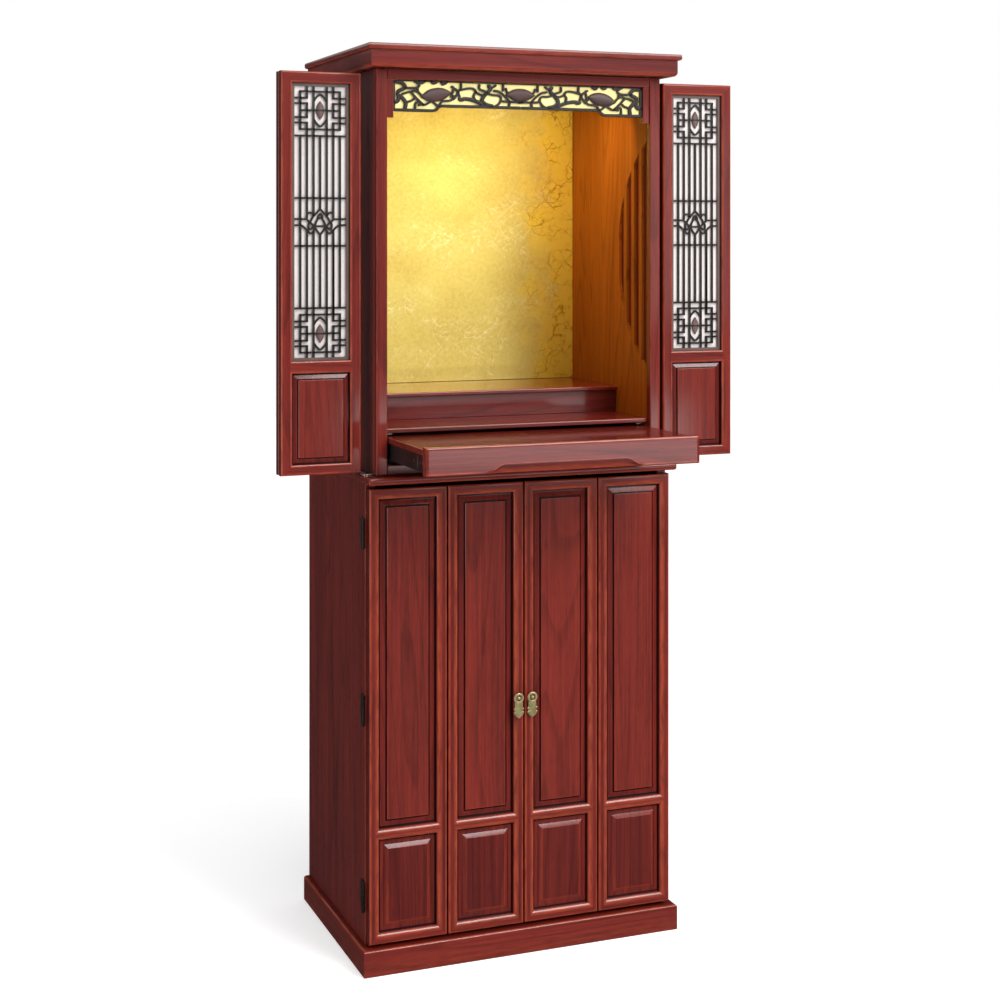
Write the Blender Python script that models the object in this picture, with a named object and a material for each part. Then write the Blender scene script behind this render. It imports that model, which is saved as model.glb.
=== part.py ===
"""Household altar cabinet: an open shrine over a closed cupboard, with bi-fold doors and a pull-out tray.

Metres, +Z up, front towards -Y, origin at the centre of the plinth's underside. Depths are given from FRONT, the
plane of the closed lower doors, and grow towards the back."""

import math

import bpy
import bmesh
from mathutils import Matrix, Vector
from mathutils.geometry import delaunay_2d_cdt

GAP = 0.0003  # clearance between pieces that touch
HEIGHT = 1.600
STRAIGHT = 0.08  # a point this near a straight line, in millimetres, is left out of an outline

# Plinth and lower carcass
PLINTH_MARGIN = 0.010  # the plinth stands out this far beyond the lower sides
PLINTH_DEPTH = 0.392
PLINTH_HEIGHT = 0.0455
PLINTH_CHAMFER = 0.004
PLINTH_CORNER = 0.004
DOOR_SETBACK = 0.008  # the lower doors stand this far behind the plinth's front
LOWER_HALF = 0.289
SIDE_THICKNESS = 0.018
BACK_THICKNESS = 0.006
LEDGE_MARGIN = 0.0045
LEDGE_TOP = 0.856
LEDGE_THICKNESS = 0.0128
LEDGE_OVERHANG = 0.019
LEDGE_ROUND = 0.002

# Upper carcass
UPPER_INSET = 0.017  # the upper sides stand this far inside the lower ones
POST_WIDTH = 0.020
POST_FRONT = 0.008
POST_DEPTH = 0.015
POST_ROUND = 0.004
WALL_THICKNESS = 0.006
CORNICE_HEIGHT = 0.040
FILLET_HEIGHT = 0.013
CORNICE_MARGIN = 0.0085
FILLET_OVERHANG = 0.031
FILLET_STEP = 0.006
CORNICE_ROUND = 0.005
UPPER_FLOOR_THICKNESS = 0.0164
UPPER_FLOOR_FRONT = 0.010

# Shelf, step and gold panel inside the shrine
SHELF_FRONT = 0.019
SHELF_RISE = 0.072  # from the ledge to the shelf's underside
SHELF_THICKNESS = 0.008
STEP_FRONT = 0.148
STEP_RISE = 0.129  # from the ledge to the step's top
STEP_BOARD = 0.008
RISER_SETBACK = 0.007
GOLD_FROM_BACK = 0.024
GOLD_THICKNESS = 0.003
PEG_RADIUS = 0.0023
PEG_FRONT = 0.034
PEG_REACH = 0.016
ROUND_SIDES = 10

# Lintel and fretwork below the cornice
LINTEL_HEIGHT = 0.0175
LINTEL_THICKNESS = 0.014
STRIP_WIDTH = 0.0122
TRANSOM_HEIGHT = 0.054
TRANSOM_RISE = 0.009  # the middle of its lower edge is this much higher than its ends
TRANSOM_FRONT = 0.0165
TRANSOM_THICKNESS = 0.005
STRIP_DROP = 0.0125  # the side strips reach this much lower than the fretwork
STRIP_THICKNESS = 0.012
TWIG = 0.0023
RAIL_OF_FRET = 0.003
CLOUD_STEP = 0.080  # where the lower edge steps up, from the fretwork's end
VINE_STEPS = 20
VINE_WAVES = 5
VINE_MIDDLE = 0.0235  # from the top of the fretwork to the middle of the vine
VINE_AMPLITUDE = 0.0105
TWIG_LEAN = 0.006
LEAF_HALF_LENGTH = 0.028
LEAF_HALF_HEIGHT = 0.0098
LEAF_TILT = 0.09
SIDE_LEAF_SHARE = 0.666  # of the way from the middle to the end

# Moon window: a circle cut by vertical slots in the shrine's side walls
MOON_RADIUS_SHARE = 0.336  # of the clear height between ledge and cornice
MOON_FORWARD_SHARE = 0.378  # the circle's centre is this share of its radius in front of the doors
MOON_CENTRE_SHARE = 0.540
SLOT_COUNT = 4
SLOT_WIDTH_SHARE = 0.0866  # of the radius, as the next two
SLOT_PITCH_SHARE = 0.137
SLOT_FIRST_SHARE = 0.1437
SLOT_ARC_STEPS = 2

# Lower doors: four leaves, two folding pairs
DOOR_INSET = 0.002  # the closed doors end this far inside the lower sides
LEAF_GAP = 0.002
LOWER_LEAF_UNDER = 0.0055
LOWER_LEAF_OVER = 0.0085
LOWER_LEAF_THICKNESS = 0.0195
FRAME_WIDTH = 0.0185
FRAME_ROUND_WIDE = 0.0075
FRAME_ROUND_DEEP = 0.0045
MID_RAIL_RISE = 0.188
PANEL_RECESS = 0.0085
PANEL_GROOVE = 0.004
PANEL_BEVEL = 0.013
PANEL_FIELD = 0.0035
LOWER_PIN_FRONT = 0.0205
FOLD_CLEARANCE = 0.0006

# Upper doors: four leaves with lattices, folded back beside the posts
UPPER_LEAF_OVER = 0.007
UPPER_LEAF_THICKNESS = 0.018
UPPER_CLOSED_FRONT = -0.011
UPPER_STILE = 0.020
UPPER_TOP_RAIL = 0.020
UPPER_BOTTOM_RAIL = 0.018
UPPER_MID_RAIL = 0.021
UPPER_PANEL_HEIGHT = 0.1565
UPPER_EDGE_ROUND = 0.003
UPPER_INNER_ROUND = 0.0015
UPPER_PANEL_RECESS = 0.007
UPPER_PANEL_GROOVE = 0.002
UPPER_PANEL_BEVEL = 0.011
UPPER_PANEL_FIELD = 0.0035
UPPER_PIN_OUT = 0.018  # the upper pins stand this far outside the posts
UPPER_PIN_FRONT = 0.030
LATTICE_RECESS = 0.007
LATTICE_THICKNESS = 0.004
LATTICE_BORDER = 0.0045
LATTICE_BORDER_TALL = 0.007
BAR = 0.0025
BAR_PITCH = 0.01175
LOTUS_TOP = 1.87  # in bar pitches
LOTUS_FOOT = -1.83
BLOCK_OFFSETS = (0.0213, 0.0318, 0.0430)
OVAL_HALF = 0.028
LENS_TALL = 0.0155
LENS_WIDE = 0.007
BLOCK_FROM_END = 0.0465
MIDDLE_BARS = 0.0411
REBATE = 0.003
PANE_THICKNESS = 0.003

# Hardware
HINGE_HEIGHT = 0.053
HINGE_FROM_END = 0.078
HINGE_MIDDLE_RISE = 0.0077
HINGE_BARREL = 0.003
HINGE_PLATE_WIDTH = 0.020
HINGE_PLATE = 0.0015
PIVOT_PLATE_LENGTH = 0.020
PIVOT_PLATE_WIDTH = 0.014
PIVOT_PLATE = 0.0013
PIVOT_ARM = 0.0016
PIVOT_ARM_WIDTH = 0.012
PULL_OFFSET = 0.013
PULL_RISE = 0.4107  # from the lower leaf's bottom to the pull's top
PULL_HEIGHT = 0.0445
PULL_HEAD_RADIUS = 0.0095
PULL_EYE_RADIUS = 0.0052
PULL_WAIST_HALF = 0.0062
PULL_FOOT_HALF = 0.0078
PULL_KNOB = 0.0020
PULL_THICKNESS = 0.0032
PULL_STANDOFF = 0.0045
STUD_BASE = 0.0036
STUD_NECK = 0.0015
STUD_CAP = 0.0032
STUD_REACH = 0.0092

# Tray on telescopic slides, stored pulled out
TRAY_PLAY = 0.002
TRAY_FRONT = -0.189
TRAY_RISE = 0.0655
TRAY_THICKNESS = 0.010
TRAY_REACH = 0.312
APRON_THICKNESS = 0.017
APRON_HEIGHT = 0.0475
APRON_LIP = 0.004  # the front board stands this far above the tray
APRON_ROUND = 0.002
ARCH_HALF_BOTTOM = 0.140
ARCH_HALF_TOP = 0.110
ARCH_HEIGHT = 0.0145
ARCH_DEPTH = 0.006
ARCH_STEPS = 5
SLIDE_OUTER = 0.0055
SLIDE_INNER = 0.0045
SLIDE_FRONT = 0.0256
SLIDE_LENGTH = 0.300
SLIDE_LIP = 0.004

# Places worked out from the sizes above
FRONT = -PLINTH_DEPTH / 2 + DOOR_SETBACK
BACK = PLINTH_DEPTH / 2 - FRONT  # depth of the cabinet's back, from FRONT
PLINTH_WIDTH = 2 * (LOWER_HALF + PLINTH_MARGIN)
LEDGE_HALF = LOWER_HALF + LEDGE_MARGIN
UPPER_HALF = LOWER_HALF - UPPER_INSET
FILLET_HALF = LOWER_HALF + CORNICE_MARGIN
CORNICE_BOTTOM = HEIGHT - CORNICE_HEIGHT
POST_INNER = UPPER_HALF - POST_WIDTH
TRANSOM_HALF = POST_INNER - STRIP_WIDTH - GAP
SHELF_BOTTOM = LEDGE_TOP + SHELF_RISE
STEP_TOP = LEDGE_TOP + STEP_RISE
MOON_RADIUS = MOON_RADIUS_SHARE * (CORNICE_BOTTOM - LEDGE_TOP)
MOON_CENTRE_HEIGHT = LEDGE_TOP + MOON_CENTRE_SHARE * (CORNICE_BOTTOM - LEDGE_TOP)
MOON_CENTRE_FRONT = -MOON_FORWARD_SHARE * MOON_RADIUS
SLOT_WIDTH = SLOT_WIDTH_SHARE * MOON_RADIUS
SLOT_PITCH = SLOT_PITCH_SHARE * MOON_RADIUS
SLOT_FIRST = SLOT_FIRST_SHARE * MOON_RADIUS
GOLD_FRONT = BACK - GOLD_FROM_BACK
DOOR_HALF = LOWER_HALF - DOOR_INSET
LOWER_LEAF_WIDTH = (2 * DOOR_HALF - 3 * LEAF_GAP) / 4
LOWER_LEAF_BOTTOM = PLINTH_HEIGHT + LOWER_LEAF_UNDER
LOWER_LEAF_TOP = LEDGE_TOP - LEDGE_THICKNESS - LOWER_LEAF_OVER
MID_RAIL_CENTRE = LOWER_LEAF_BOTTOM + MID_RAIL_RISE
LOWER_PIN_HALF = LOWER_HALF + HINGE_BARREL + GAP
UPPER_LEAF_WIDTH = (2 * LOWER_HALF - 3 * LEAF_GAP) / 4
UPPER_LEAF_BOTTOM = LEDGE_TOP + PIVOT_PLATE + PIVOT_ARM + 4 * GAP
UPPER_LEAF_TOP = CORNICE_BOTTOM - UPPER_LEAF_OVER
UPPER_MID_BOTTOM = UPPER_LEAF_BOTTOM + UPPER_BOTTOM_RAIL + UPPER_PANEL_HEIGHT
UPPER_MID_TOP = UPPER_MID_BOTTOM + UPPER_MID_RAIL
UPPER_PIN_HALF = UPPER_HALF + UPPER_PIN_OUT
PULL_TOP = LOWER_LEAF_BOTTOM + PULL_RISE
TRAY_HALF = POST_INNER - TRAY_PLAY
TRAY_TOP = LEDGE_TOP + TRAY_RISE
APRON_TOP = TRAY_TOP + APRON_LIP
APRON_BOTTOM = APRON_TOP - APRON_HEIGHT
SLIDE_BOTTOM = APRON_BOTTOM
SLIDE_TOP = TRAY_TOP - TRAY_THICKNESS - 5 * GAP

CHERRY = ("cherry_lacquer", (0.22, 0.045, 0.030), 0.22, 0.0)
AMBER = ("amber_wood", (0.50, 0.20, 0.03), 0.30, 0.0)
GOLD = ("gold_foil", (0.80, 0.60, 0.16), 0.40, 0.8)
DARK = ("dark_lattice", (0.02, 0.012, 0.010), 0.40, 0.0)
PANE = ("frosted_pane", (0.78, 0.76, 0.74), 0.60, 0.0)
BRASS = ("antique_brass", (0.45, 0.38, 0.18), 0.35, 1.0)
BLACK = ("black_steel", (0.01, 0.01, 0.01), 0.40, 0.9)
STEEL = ("bright_steel", (0.60, 0.60, 0.60), 0.30, 1.0)


def clear_scene():
    for obj in list(bpy.data.objects):
        bpy.data.objects.remove(obj, do_unlink=True)


def material(slot):
    """The Principled material of a slot, made the first time that it is asked for."""
    name, colour, roughness, metallic = slot
    made = bpy.data.materials.get(name)
    if made:
        return made
    made = bpy.data.materials.new(name)
    made.use_nodes = True
    shader = made.node_tree.nodes["Principled BSDF"]
    shader.inputs["Base Color"].default_value = (*colour, 1.0)
    shader.inputs["Roughness"].default_value = roughness
    shader.inputs["Metallic"].default_value = metallic
    made.diffuse_color = (*colour, 1.0)
    return made


def add(name, mesh, slot, parent=None, place=(0, 0, 0)):
    """An object that shows a mesh at a place, given in its parent's own frame."""
    if not mesh.materials:
        mesh.materials.append(material(slot))
    obj = bpy.data.objects.new(name, mesh)
    bpy.context.scene.collection.objects.link(obj)
    obj.parent = parent
    obj.location = place
    return obj


def mesh_from(name, verts, faces):
    """A closed mesh with its normals out."""
    mesh = bpy.data.meshes.new(name)
    work = bmesh.new()
    made = [work.verts.new(v) for v in verts]
    for face in faces:
        work.faces.new([made[i] for i in face])
    bmesh.ops.recalc_face_normals(work, faces=work.faces)
    work.to_mesh(mesh)
    work.free()
    return mesh


def box(name, slot, x, y, z, bevel=0.0, parent=None):
    """A box from pairs of limits in metres, x across, y as depth from FRONT, z up, its edges cut by bevel."""
    mesh = bpy.data.meshes.new(name)
    work = bmesh.new()
    bmesh.ops.create_cube(work, size=1.0)
    size = Vector((x[1] - x[0], y[1] - y[0], z[1] - z[0]))
    middle = Vector(((x[0] + x[1]) / 2, FRONT + (y[0] + y[1]) / 2, (z[0] + z[1]) / 2))
    bmesh.ops.transform(work, matrix=Matrix.Diagonal((*size, 1.0)), verts=work.verts)
    if bevel:
        bmesh.ops.bevel(work, geom=work.edges[:], offset=bevel, segments=1, affect="EDGES")
    work.to_mesh(mesh)
    work.free()
    return add(name, mesh, slot, parent, middle)


def mirrored(name, slot, x, y, z, bevel=0.0):
    """The left and right boxes of a pair, from the right one's limits."""
    box(name + "_left", slot, (-x[1], -x[0]), y, z, bevel)
    box(name + "_right", slot, x, y, z, bevel)


def covered(shapes, holes):
    """Points in millimetres and triangles of a flat sheet that covers every shape and none of the holes."""
    points = []
    faces = []
    for shape in [*shapes, *holes]:
        turned = sum(a[0] * b[1] - b[0] * a[1] for a, b in zip(shape, shape[1:] + shape[:1]))
        ordered = shape if turned > 0 else shape[::-1]
        faces.append(list(range(len(points), len(points) + len(ordered))))
        points += [Vector(point) for point in ordered]
    found, _, triangles, _, _, covers = delaunay_2d_cdt(points, [], faces, 1, 1e-4)
    first_hole = len(shapes)
    return found, [t for t, over in zip(triangles, covers) if over and max(over) < first_hole]


def rims(points, triangles):
    """The closed loops round a sheet's triangles, without the points that lie on straight stretches."""
    edges = {(a, b) for t in triangles for a, b in zip(t, t[1:] + t[:1])}
    after = {a: b for a, b in edges if (b, a) not in edges}
    loops = []
    while after:
        loop = [next(iter(after))]
        while after[loop[-1]] != loop[0]:
            loop.append(after[loop[-1]])
        for i in loop:
            del after[i]
        corners = [points[i] for i in loop]
        bent = True
        while bent:
            bent = False
            for i in range(len(corners)):
                a, b, c = corners[i - 1], corners[i], corners[(i + 1) % len(corners)]
                if abs((b - a).cross(c - a)) <= STRAIGHT * (c - a).length and len(corners) > 3:
                    del corners[i]
                    bent = True
                    break
        loops.append(corners)
    return loops


def flat_union(shapes, holes=()):
    """Points and triangles of a flat sheet that covers every shape and none of the holes, with few triangles.

    Each shape is a list of (across, up) points. They may overlap."""
    scaled = [[[(1000 * a, 1000 * b) for a, b in shape] for shape in group] for group in (shapes, holes)]
    loops = rims(*covered(*scaled))
    area = [sum(a.cross(b) for a, b in zip(loop, loop[1:] + loop[:1])) for loop in loops]
    outer = [loop for loop, size in zip(loops, area) if size > 0]
    inner = [loop for loop, size in zip(loops, area) if size < 0]
    found, kept = covered(outer, inner)
    used = sorted({i for t in kept for i in t})
    number = {old: new for new, old in enumerate(used)}
    return [found[i] / 1000 for i in used], [[number[i] for i in t] for t in kept]


def sheet(name, shapes, holes, front, thickness, side_on=False):
    """A flat sheet as a closed solid. It faces the front, or, side_on, the cabinet's side, with across as depth."""
    points, triangles = flat_union(shapes, holes)
    count = len(points)
    verts = []
    for offset in (front, front + thickness):
        for across, up in points:
            verts.append((offset, across, up) if side_on else (across, offset, up))
    faces = [list(t) for t in triangles]
    faces += [[i + count for i in reversed(t)] for t in triangles]
    edges = {}
    for t in triangles:
        for a, b in zip(t, t[1:] + t[:1]):
            edges[a, b] = True
    for a, b in edges:
        if (b, a) not in edges:
            faces.append([b, a, a + count, b + count])
    return mesh_from(name, verts, faces)


def rectangle(x0, z0, x1, z1):
    return [(x0, z0), (x1, z0), (x1, z1), (x0, z1)]


def smooth(points, steps):
    """A Catmull-Rom curve through the points, with this many steps between each two."""
    ends = [points[0], *points, points[-1]]
    curve = []
    for a, b, c, d in zip(ends, ends[1:], ends[2:], ends[3:]):
        for k in range(steps):
            t = k / steps
            curve.append(tuple(
                0.5 * (2 * q + (r - p) * t + (2 * p - 5 * q + 4 * r - s) * t * t + (3 * q - p - 3 * r + s) * t**3)
                for p, q, r, s in zip(a, b, c, d)
            ))
    return [*curve, points[-1]]


def ribbon(points, width, end_width=None):
    """Quads along a flat path, from its width at the start to its width at the end."""
    last = len(points) - 1
    end_width = width if end_width is None else end_width
    sides = []
    for i, point in enumerate(points):
        before = Vector(points[max(i - 1, 0)])
        after = Vector(points[min(i + 1, last)])
        along = (after - before).normalized()
        half = (width + (end_width - width) * i / last) / 2
        across = Vector((-along.y, along.x)) * half
        sides.append((Vector(point) + across, Vector(point) - across))
    return [
        [tuple(a[0]), tuple(a[1]), tuple(b[1]), tuple(b[0])]
        for a, b in zip(sides, sides[1:])
    ]


def lens(centre, half_length, half_height, steps, tilt=0.0):
    """A leaf outline, pointed at both ends."""
    outline = []
    for k in range(2 * steps):
        t = k / steps
        along = 1 - 2 * t if t <= 1 else 2 * t - 3
        rise = half_height * (1 - along * along) ** 0.8 * (1 if t <= 1 else -1)
        across = half_length * along
        outline.append((
            centre[0] + across * math.cos(tilt) - rise * math.sin(tilt),
            centre[1] + across * math.sin(tilt) + rise * math.cos(tilt),
        ))
    return outline


def mirror_x(shapes):
    return [[(-x, z) for x, z in shape] for shape in shapes]


# Carcass


def plinth():
    half_width = PLINTH_WIDTH / 2
    half_depth = PLINTH_DEPTH / 2

    def ring(inset, height):
        corner = PLINTH_CORNER
        points = []
        for sx, sy in ((1, 1), (-1, 1), (-1, -1), (1, -1)):
            a = (sx * (half_width - inset), sy * (half_depth - inset - corner), height)
            b = (sx * (half_width - inset - corner), sy * (half_depth - inset), height)
            points += [a, b] if sx * sy > 0 else [b, a]
        return points

    rings = [
        ring(0, 0),
        ring(0, PLINTH_HEIGHT - PLINTH_CHAMFER),
        ring(PLINTH_CHAMFER, PLINTH_HEIGHT),
    ]
    verts = [v for r in rings for v in r]
    faces = [list(range(8)), list(range(16, 24))]
    for level in (0, 8):
        for i in range(8):
            j = (i + 1) % 8
            faces.append([level + i, level + j, level + 8 + j, level + 8 + i])
    add("plinth", mesh_from("plinth", verts, faces), CHERRY)


def lower_carcass():
    bottom = PLINTH_HEIGHT + GAP
    top = LEDGE_TOP - LEDGE_THICKNESS - GAP
    front = LOWER_LEAF_THICKNESS + 2 * GAP
    inner = LOWER_HALF - SIDE_THICKNESS
    mirrored("lower_side", CHERRY, (inner, LOWER_HALF), (front, BACK), (bottom, top))
    box("lower_back", CHERRY, (-inner + GAP, inner - GAP), (BACK - BACK_THICKNESS, BACK), (bottom, top))
    box(
        "lower_floor", CHERRY, (-inner + GAP, inner - GAP), (front, BACK - BACK_THICKNESS - GAP),
        (bottom, bottom + SIDE_THICKNESS),
    )
    box(
        "waist_ledge", CHERRY, (-LEDGE_HALF, LEDGE_HALF), (-LEDGE_OVERHANG, BACK),
        (LEDGE_TOP - LEDGE_THICKNESS, LEDGE_TOP), LEDGE_ROUND,
    )


def upper_carcass():
    bottom = LEDGE_TOP + GAP
    top = CORNICE_BOTTOM - GAP
    behind_posts = POST_FRONT + POST_DEPTH + GAP
    inner_back = BACK - BACK_THICKNESS - GAP
    post_depths = (POST_FRONT, POST_FRONT + POST_DEPTH)
    mirrored("post", CHERRY, (POST_INNER, UPPER_HALF), post_depths, (bottom, top), POST_ROUND)
    mirrored(
        "upper_side", CHERRY, (POST_INNER + WALL_THICKNESS + GAP, UPPER_HALF), (behind_posts, BACK), (bottom, top)
    )
    box(
        "upper_back", CHERRY, (-POST_INNER - WALL_THICKNESS, POST_INNER + WALL_THICKNESS),
        (BACK - BACK_THICKNESS, BACK), (bottom, top),
    )
    box(
        "upper_floor", CHERRY, (-POST_INNER + GAP, POST_INNER - GAP), (UPPER_FLOOR_FRONT, inner_back),
        (bottom, bottom + UPPER_FLOOR_THICKNESS),
    )
    slots = [moon_slot(SLOT_FIRST + k * SLOT_PITCH) for k in range(SLOT_COUNT)]
    wall = [rectangle(behind_posts, bottom, inner_back, top)]
    for side, left in (("left", -POST_INNER - WALL_THICKNESS), ("right", POST_INNER)):
        mesh = sheet("inner_wall_" + side, wall, slots, left, WALL_THICKNESS, side_on=True)
        add("inner_wall_" + side, mesh, AMBER, None, (0, FRONT, 0))


def moon_slot(middle):
    """A vertical slot whose two ends follow the moon window's circle."""
    ends = []
    for k in range(SLOT_ARC_STEPS + 1):
        depth = middle - SLOT_WIDTH / 2 + SLOT_WIDTH * k / SLOT_ARC_STEPS
        rise = math.sqrt(MOON_RADIUS**2 - (depth - MOON_CENTRE_FRONT) ** 2)
        ends.append((depth, rise))
    upper = [(depth, MOON_CENTRE_HEIGHT + rise) for depth, rise in ends]
    lower = [(depth, MOON_CENTRE_HEIGHT - rise) for depth, rise in reversed(ends)]
    return upper + lower


def cornice():
    """A moulded top: a fillet, a fascia set back from it, and a rounded lower edge on the front and the sides."""
    outline = [(FILLET_HALF, 0.0), (FILLET_HALF, FILLET_HEIGHT)]
    outline.append((FILLET_HALF - FILLET_STEP, FILLET_HEIGHT + FILLET_STEP / 2))
    for k in range(4):
        turn = math.pi / 2 * k / 3
        outline.append((
            FILLET_HALF - FILLET_STEP - CORNICE_ROUND * (1 - math.cos(turn)),
            CORNICE_HEIGHT - CORNICE_ROUND * (1 - math.sin(turn)),
        ))
    verts = []
    for half, drop in outline:
        inset = FILLET_HALF - half
        front = FRONT - FILLET_OVERHANG + inset
        for x, y in ((half, FRONT + BACK), (-half, FRONT + BACK), (-half, front), (half, front)):
            verts.append((x, y, HEIGHT - drop))
    last = 4 * (len(outline) - 1)
    faces = [[0, 1, 2, 3], [last, last + 1, last + 2, last + 3]]
    for level in range(0, last, 4):
        for i in range(4):
            j = (i + 1) % 4
            faces.append([level + i, level + j, level + 4 + j, level + 4 + i])
    add("cornice", mesh_from("cornice", verts, faces), CHERRY)


# Shrine fittings


def shrine_fittings():
    half = POST_INNER - GAP
    top = CORNICE_BOTTOM - GAP
    shelf_top = SHELF_BOTTOM + SHELF_THICKNESS
    gold_back = GOLD_FRONT + GOLD_THICKNESS
    box("shrine_shelf", CHERRY, (-half, half), (SHELF_FRONT, gold_back), (SHELF_BOTTOM, shelf_top), 0.0012)
    step_profile = [
        (STEP_FRONT, STEP_TOP - STEP_BOARD), (STEP_FRONT, STEP_TOP), (gold_back, STEP_TOP),
        (gold_back, STEP_TOP - STEP_BOARD), (STEP_FRONT + 2 * RISER_SETBACK, STEP_TOP - STEP_BOARD),
        (STEP_FRONT + 2 * RISER_SETBACK, shelf_top + GAP), (STEP_FRONT + RISER_SETBACK, shelf_top + GAP),
        (STEP_FRONT + RISER_SETBACK, STEP_TOP - STEP_BOARD),
    ]
    step = sheet("upper_step", [step_profile], [], -half, 2 * half, side_on=True)
    add("upper_step", step, CHERRY, None, (0, FRONT, 0))
    box("gold_panel", GOLD, (-half, half), (GOLD_FRONT, gold_back), (STEP_TOP + GAP, top))
    for side, sign in (("left", -1), ("right", 1)):
        peg = cylinder("shelf_peg_" + side, PEG_RADIUS, PEG_REACH, "X")
        middle = sign * (POST_INNER - GAP - PEG_REACH / 2)
        add("shelf_peg_" + side, peg, STEEL, None, (middle, FRONT + PEG_FRONT, SHELF_BOTTOM - GAP - PEG_RADIUS))


def cylinder(name, radius, length, axis, sides=ROUND_SIDES):
    """A round bar about the middle of its length, along X or Z."""
    mesh = bpy.data.meshes.new(name)
    work = bmesh.new()
    bmesh.ops.create_cone(
        work, cap_ends=True, segments=sides, radius1=radius, radius2=radius, depth=length
    )
    if axis == "X":
        bmesh.ops.rotate(work, verts=work.verts, cent=(0, 0, 0), matrix=Matrix.Rotation(math.pi / 2, 3, "Y"))
    work.to_mesh(mesh)
    work.free()
    mesh.shade_smooth()
    mesh.set_sharp_from_angle(angle=math.radians(50))
    return mesh


def lintel_and_strips():
    top = CORNICE_BOTTOM - GAP
    bottom = top - LINTEL_HEIGHT
    inner = POST_INNER - GAP
    depth = (POST_FRONT + 0.002, POST_FRONT + 0.002 + LINTEL_THICKNESS)
    box("lintel", CHERRY, (-inner, inner), depth, (bottom, top))
    strip = (POST_FRONT + 0.004, POST_FRONT + 0.004 + STRIP_THICKNESS)
    low = bottom - GAP - TRANSOM_HEIGHT - STRIP_DROP
    mirrored("transom_strip", CHERRY, (TRANSOM_HALF + GAP, inner), strip, (low, bottom - GAP))


def strand(phase):
    """One of the vine's two stems: a sine wave between the rails, from the transom's end to its middle."""
    points = []
    for k in range(VINE_STEPS + 1):
        across = -(TRANSOM_HALF - TWIG / 2) * (1 - k / VINE_STEPS)
        wave = math.sin(math.pi * VINE_WAVES * k / VINE_STEPS + phase)
        points.append((across, -VINE_MIDDLE + VINE_AMPLITUDE * wave))
    return points


def transom():
    """Fretwork: two crossing vine stems tied to the rails by leaning twigs, three leaves, and a stepped lower rail.

    It is drawn for the left half, in metres from the middle of its top edge, and mirrored."""
    low = -TRANSOM_HEIGHT + RAIL_OF_FRET / 2
    high = low + TRANSOM_RISE
    step = -TRANSOM_HALF + CLOUD_STEP
    stems = [strand(0), strand(math.pi)]
    half = ribbon([(-TRANSOM_HALF, low), (step, low), (step + TRANSOM_RISE, high), (0, high)], RAIL_OF_FRET)
    half += ribbon([(-TRANSOM_HALF, -RAIL_OF_FRET / 2), (0, -RAIL_OF_FRET / 2)], RAIL_OF_FRET)
    half += ribbon([(-TRANSOM_HALF + TWIG / 2, 0), (-TRANSOM_HALF + TWIG / 2, low)], TWIG)
    for stem in stems:
        half += ribbon(stem, 1.3 * TWIG)
    for k in range(1, VINE_STEPS, 2):
        crest, trough = sorted((stem[k] for stem in stems), key=lambda point: -point[1])
        lean = TWIG_LEAN if k % 4 == 1 else -TWIG_LEAN
        rail = low if trough[0] < step else high
        half += ribbon([crest, (crest[0] + lean, -RAIL_OF_FRET / 2)], TWIG)
        half += ribbon([trough, (trough[0] - lean, rail)], TWIG)
    leaf_middle = (-TRANSOM_HALF * SIDE_LEAF_SHARE, -VINE_MIDDLE)
    half.append(lens(leaf_middle, LEAF_HALF_LENGTH, LEAF_HALF_HEIGHT, 7, LEAF_TILT))
    centre_leaf = lens((0, -VINE_MIDDLE), LEAF_HALF_LENGTH, LEAF_HALF_HEIGHT, 7)
    mesh = sheet("transom", [*half, *mirror_x(half), centre_leaf], [], 0, TRANSOM_THICKNESS)
    top = CORNICE_BOTTOM - LINTEL_HEIGHT - 2 * GAP
    add("transom", mesh, DARK, None, (0, FRONT + TRANSOM_FRONT, top))


# Doors


class Rings:
    """Grows a closed panel from rectangles in the plane of its front, each pushed back to its own depth."""

    def __init__(self):
        self.verts = []
        self.faces = []

    def ring(self, rect, inset, depth):
        x0, z0, x1, z1 = rect
        first = len(self.verts)
        for x, z in rectangle(x0 + inset, z0 + inset, x1 - inset, z1 - inset):
            self.verts.append((x, depth, z))
        return [first, first + 1, first + 2, first + 3]

    def walls(self, rings):
        for a, b in zip(rings, rings[1:]):
            for i in range(4):
                j = (i + 1) % 4
                self.faces.append([a[i], a[j], b[j], b[i]])

    def cap(self, ring, holes=()):
        """Fills a flat face between a ring and the rings inside it, on their own corners."""
        if not holes:
            self.faces.append(list(ring))
            return
        corners = [*ring, *[i for hole in holes for i in hole]]
        points = [Vector((1000 * self.verts[i][0], 1000 * self.verts[i][2])) for i in corners]
        loops = [list(range(4 * k, 4 * k + 4)) for k in range(1 + len(holes))]
        _, _, triangles, origin, _, covers = delaunay_2d_cdt(points, [], loops, 1, 1e-4)
        for triangle, over in zip(triangles, covers):
            if over == [0]:
                self.faces.append([corners[origin[i][0]] for i in triangle])


def rounded(wide, deep, inwards, steps=3):
    """Insets and depths of a rounded edge, from the flat front to the side of the frame."""
    sign = 1 if inwards else -1
    turns = [math.pi / 2 * k / steps for k in range(steps + 1)]
    return [(sign * wide * (1 - math.sin(turn)), deep * (1 - math.cos(turn))) for turn in turns]


def frame_edge(rings, rect, wide, deep, thickness):
    """The rounded outer edge of a leaf. Returns its ring on the front face and its ring on the back face."""
    levels = rounded(wide, deep, inwards=True)
    made = [rings.ring(rect, inset, depth) for inset, depth in levels]
    back = rings.ring(rect, 0, thickness)
    rings.walls([*made, back])
    return made[0], back


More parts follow.
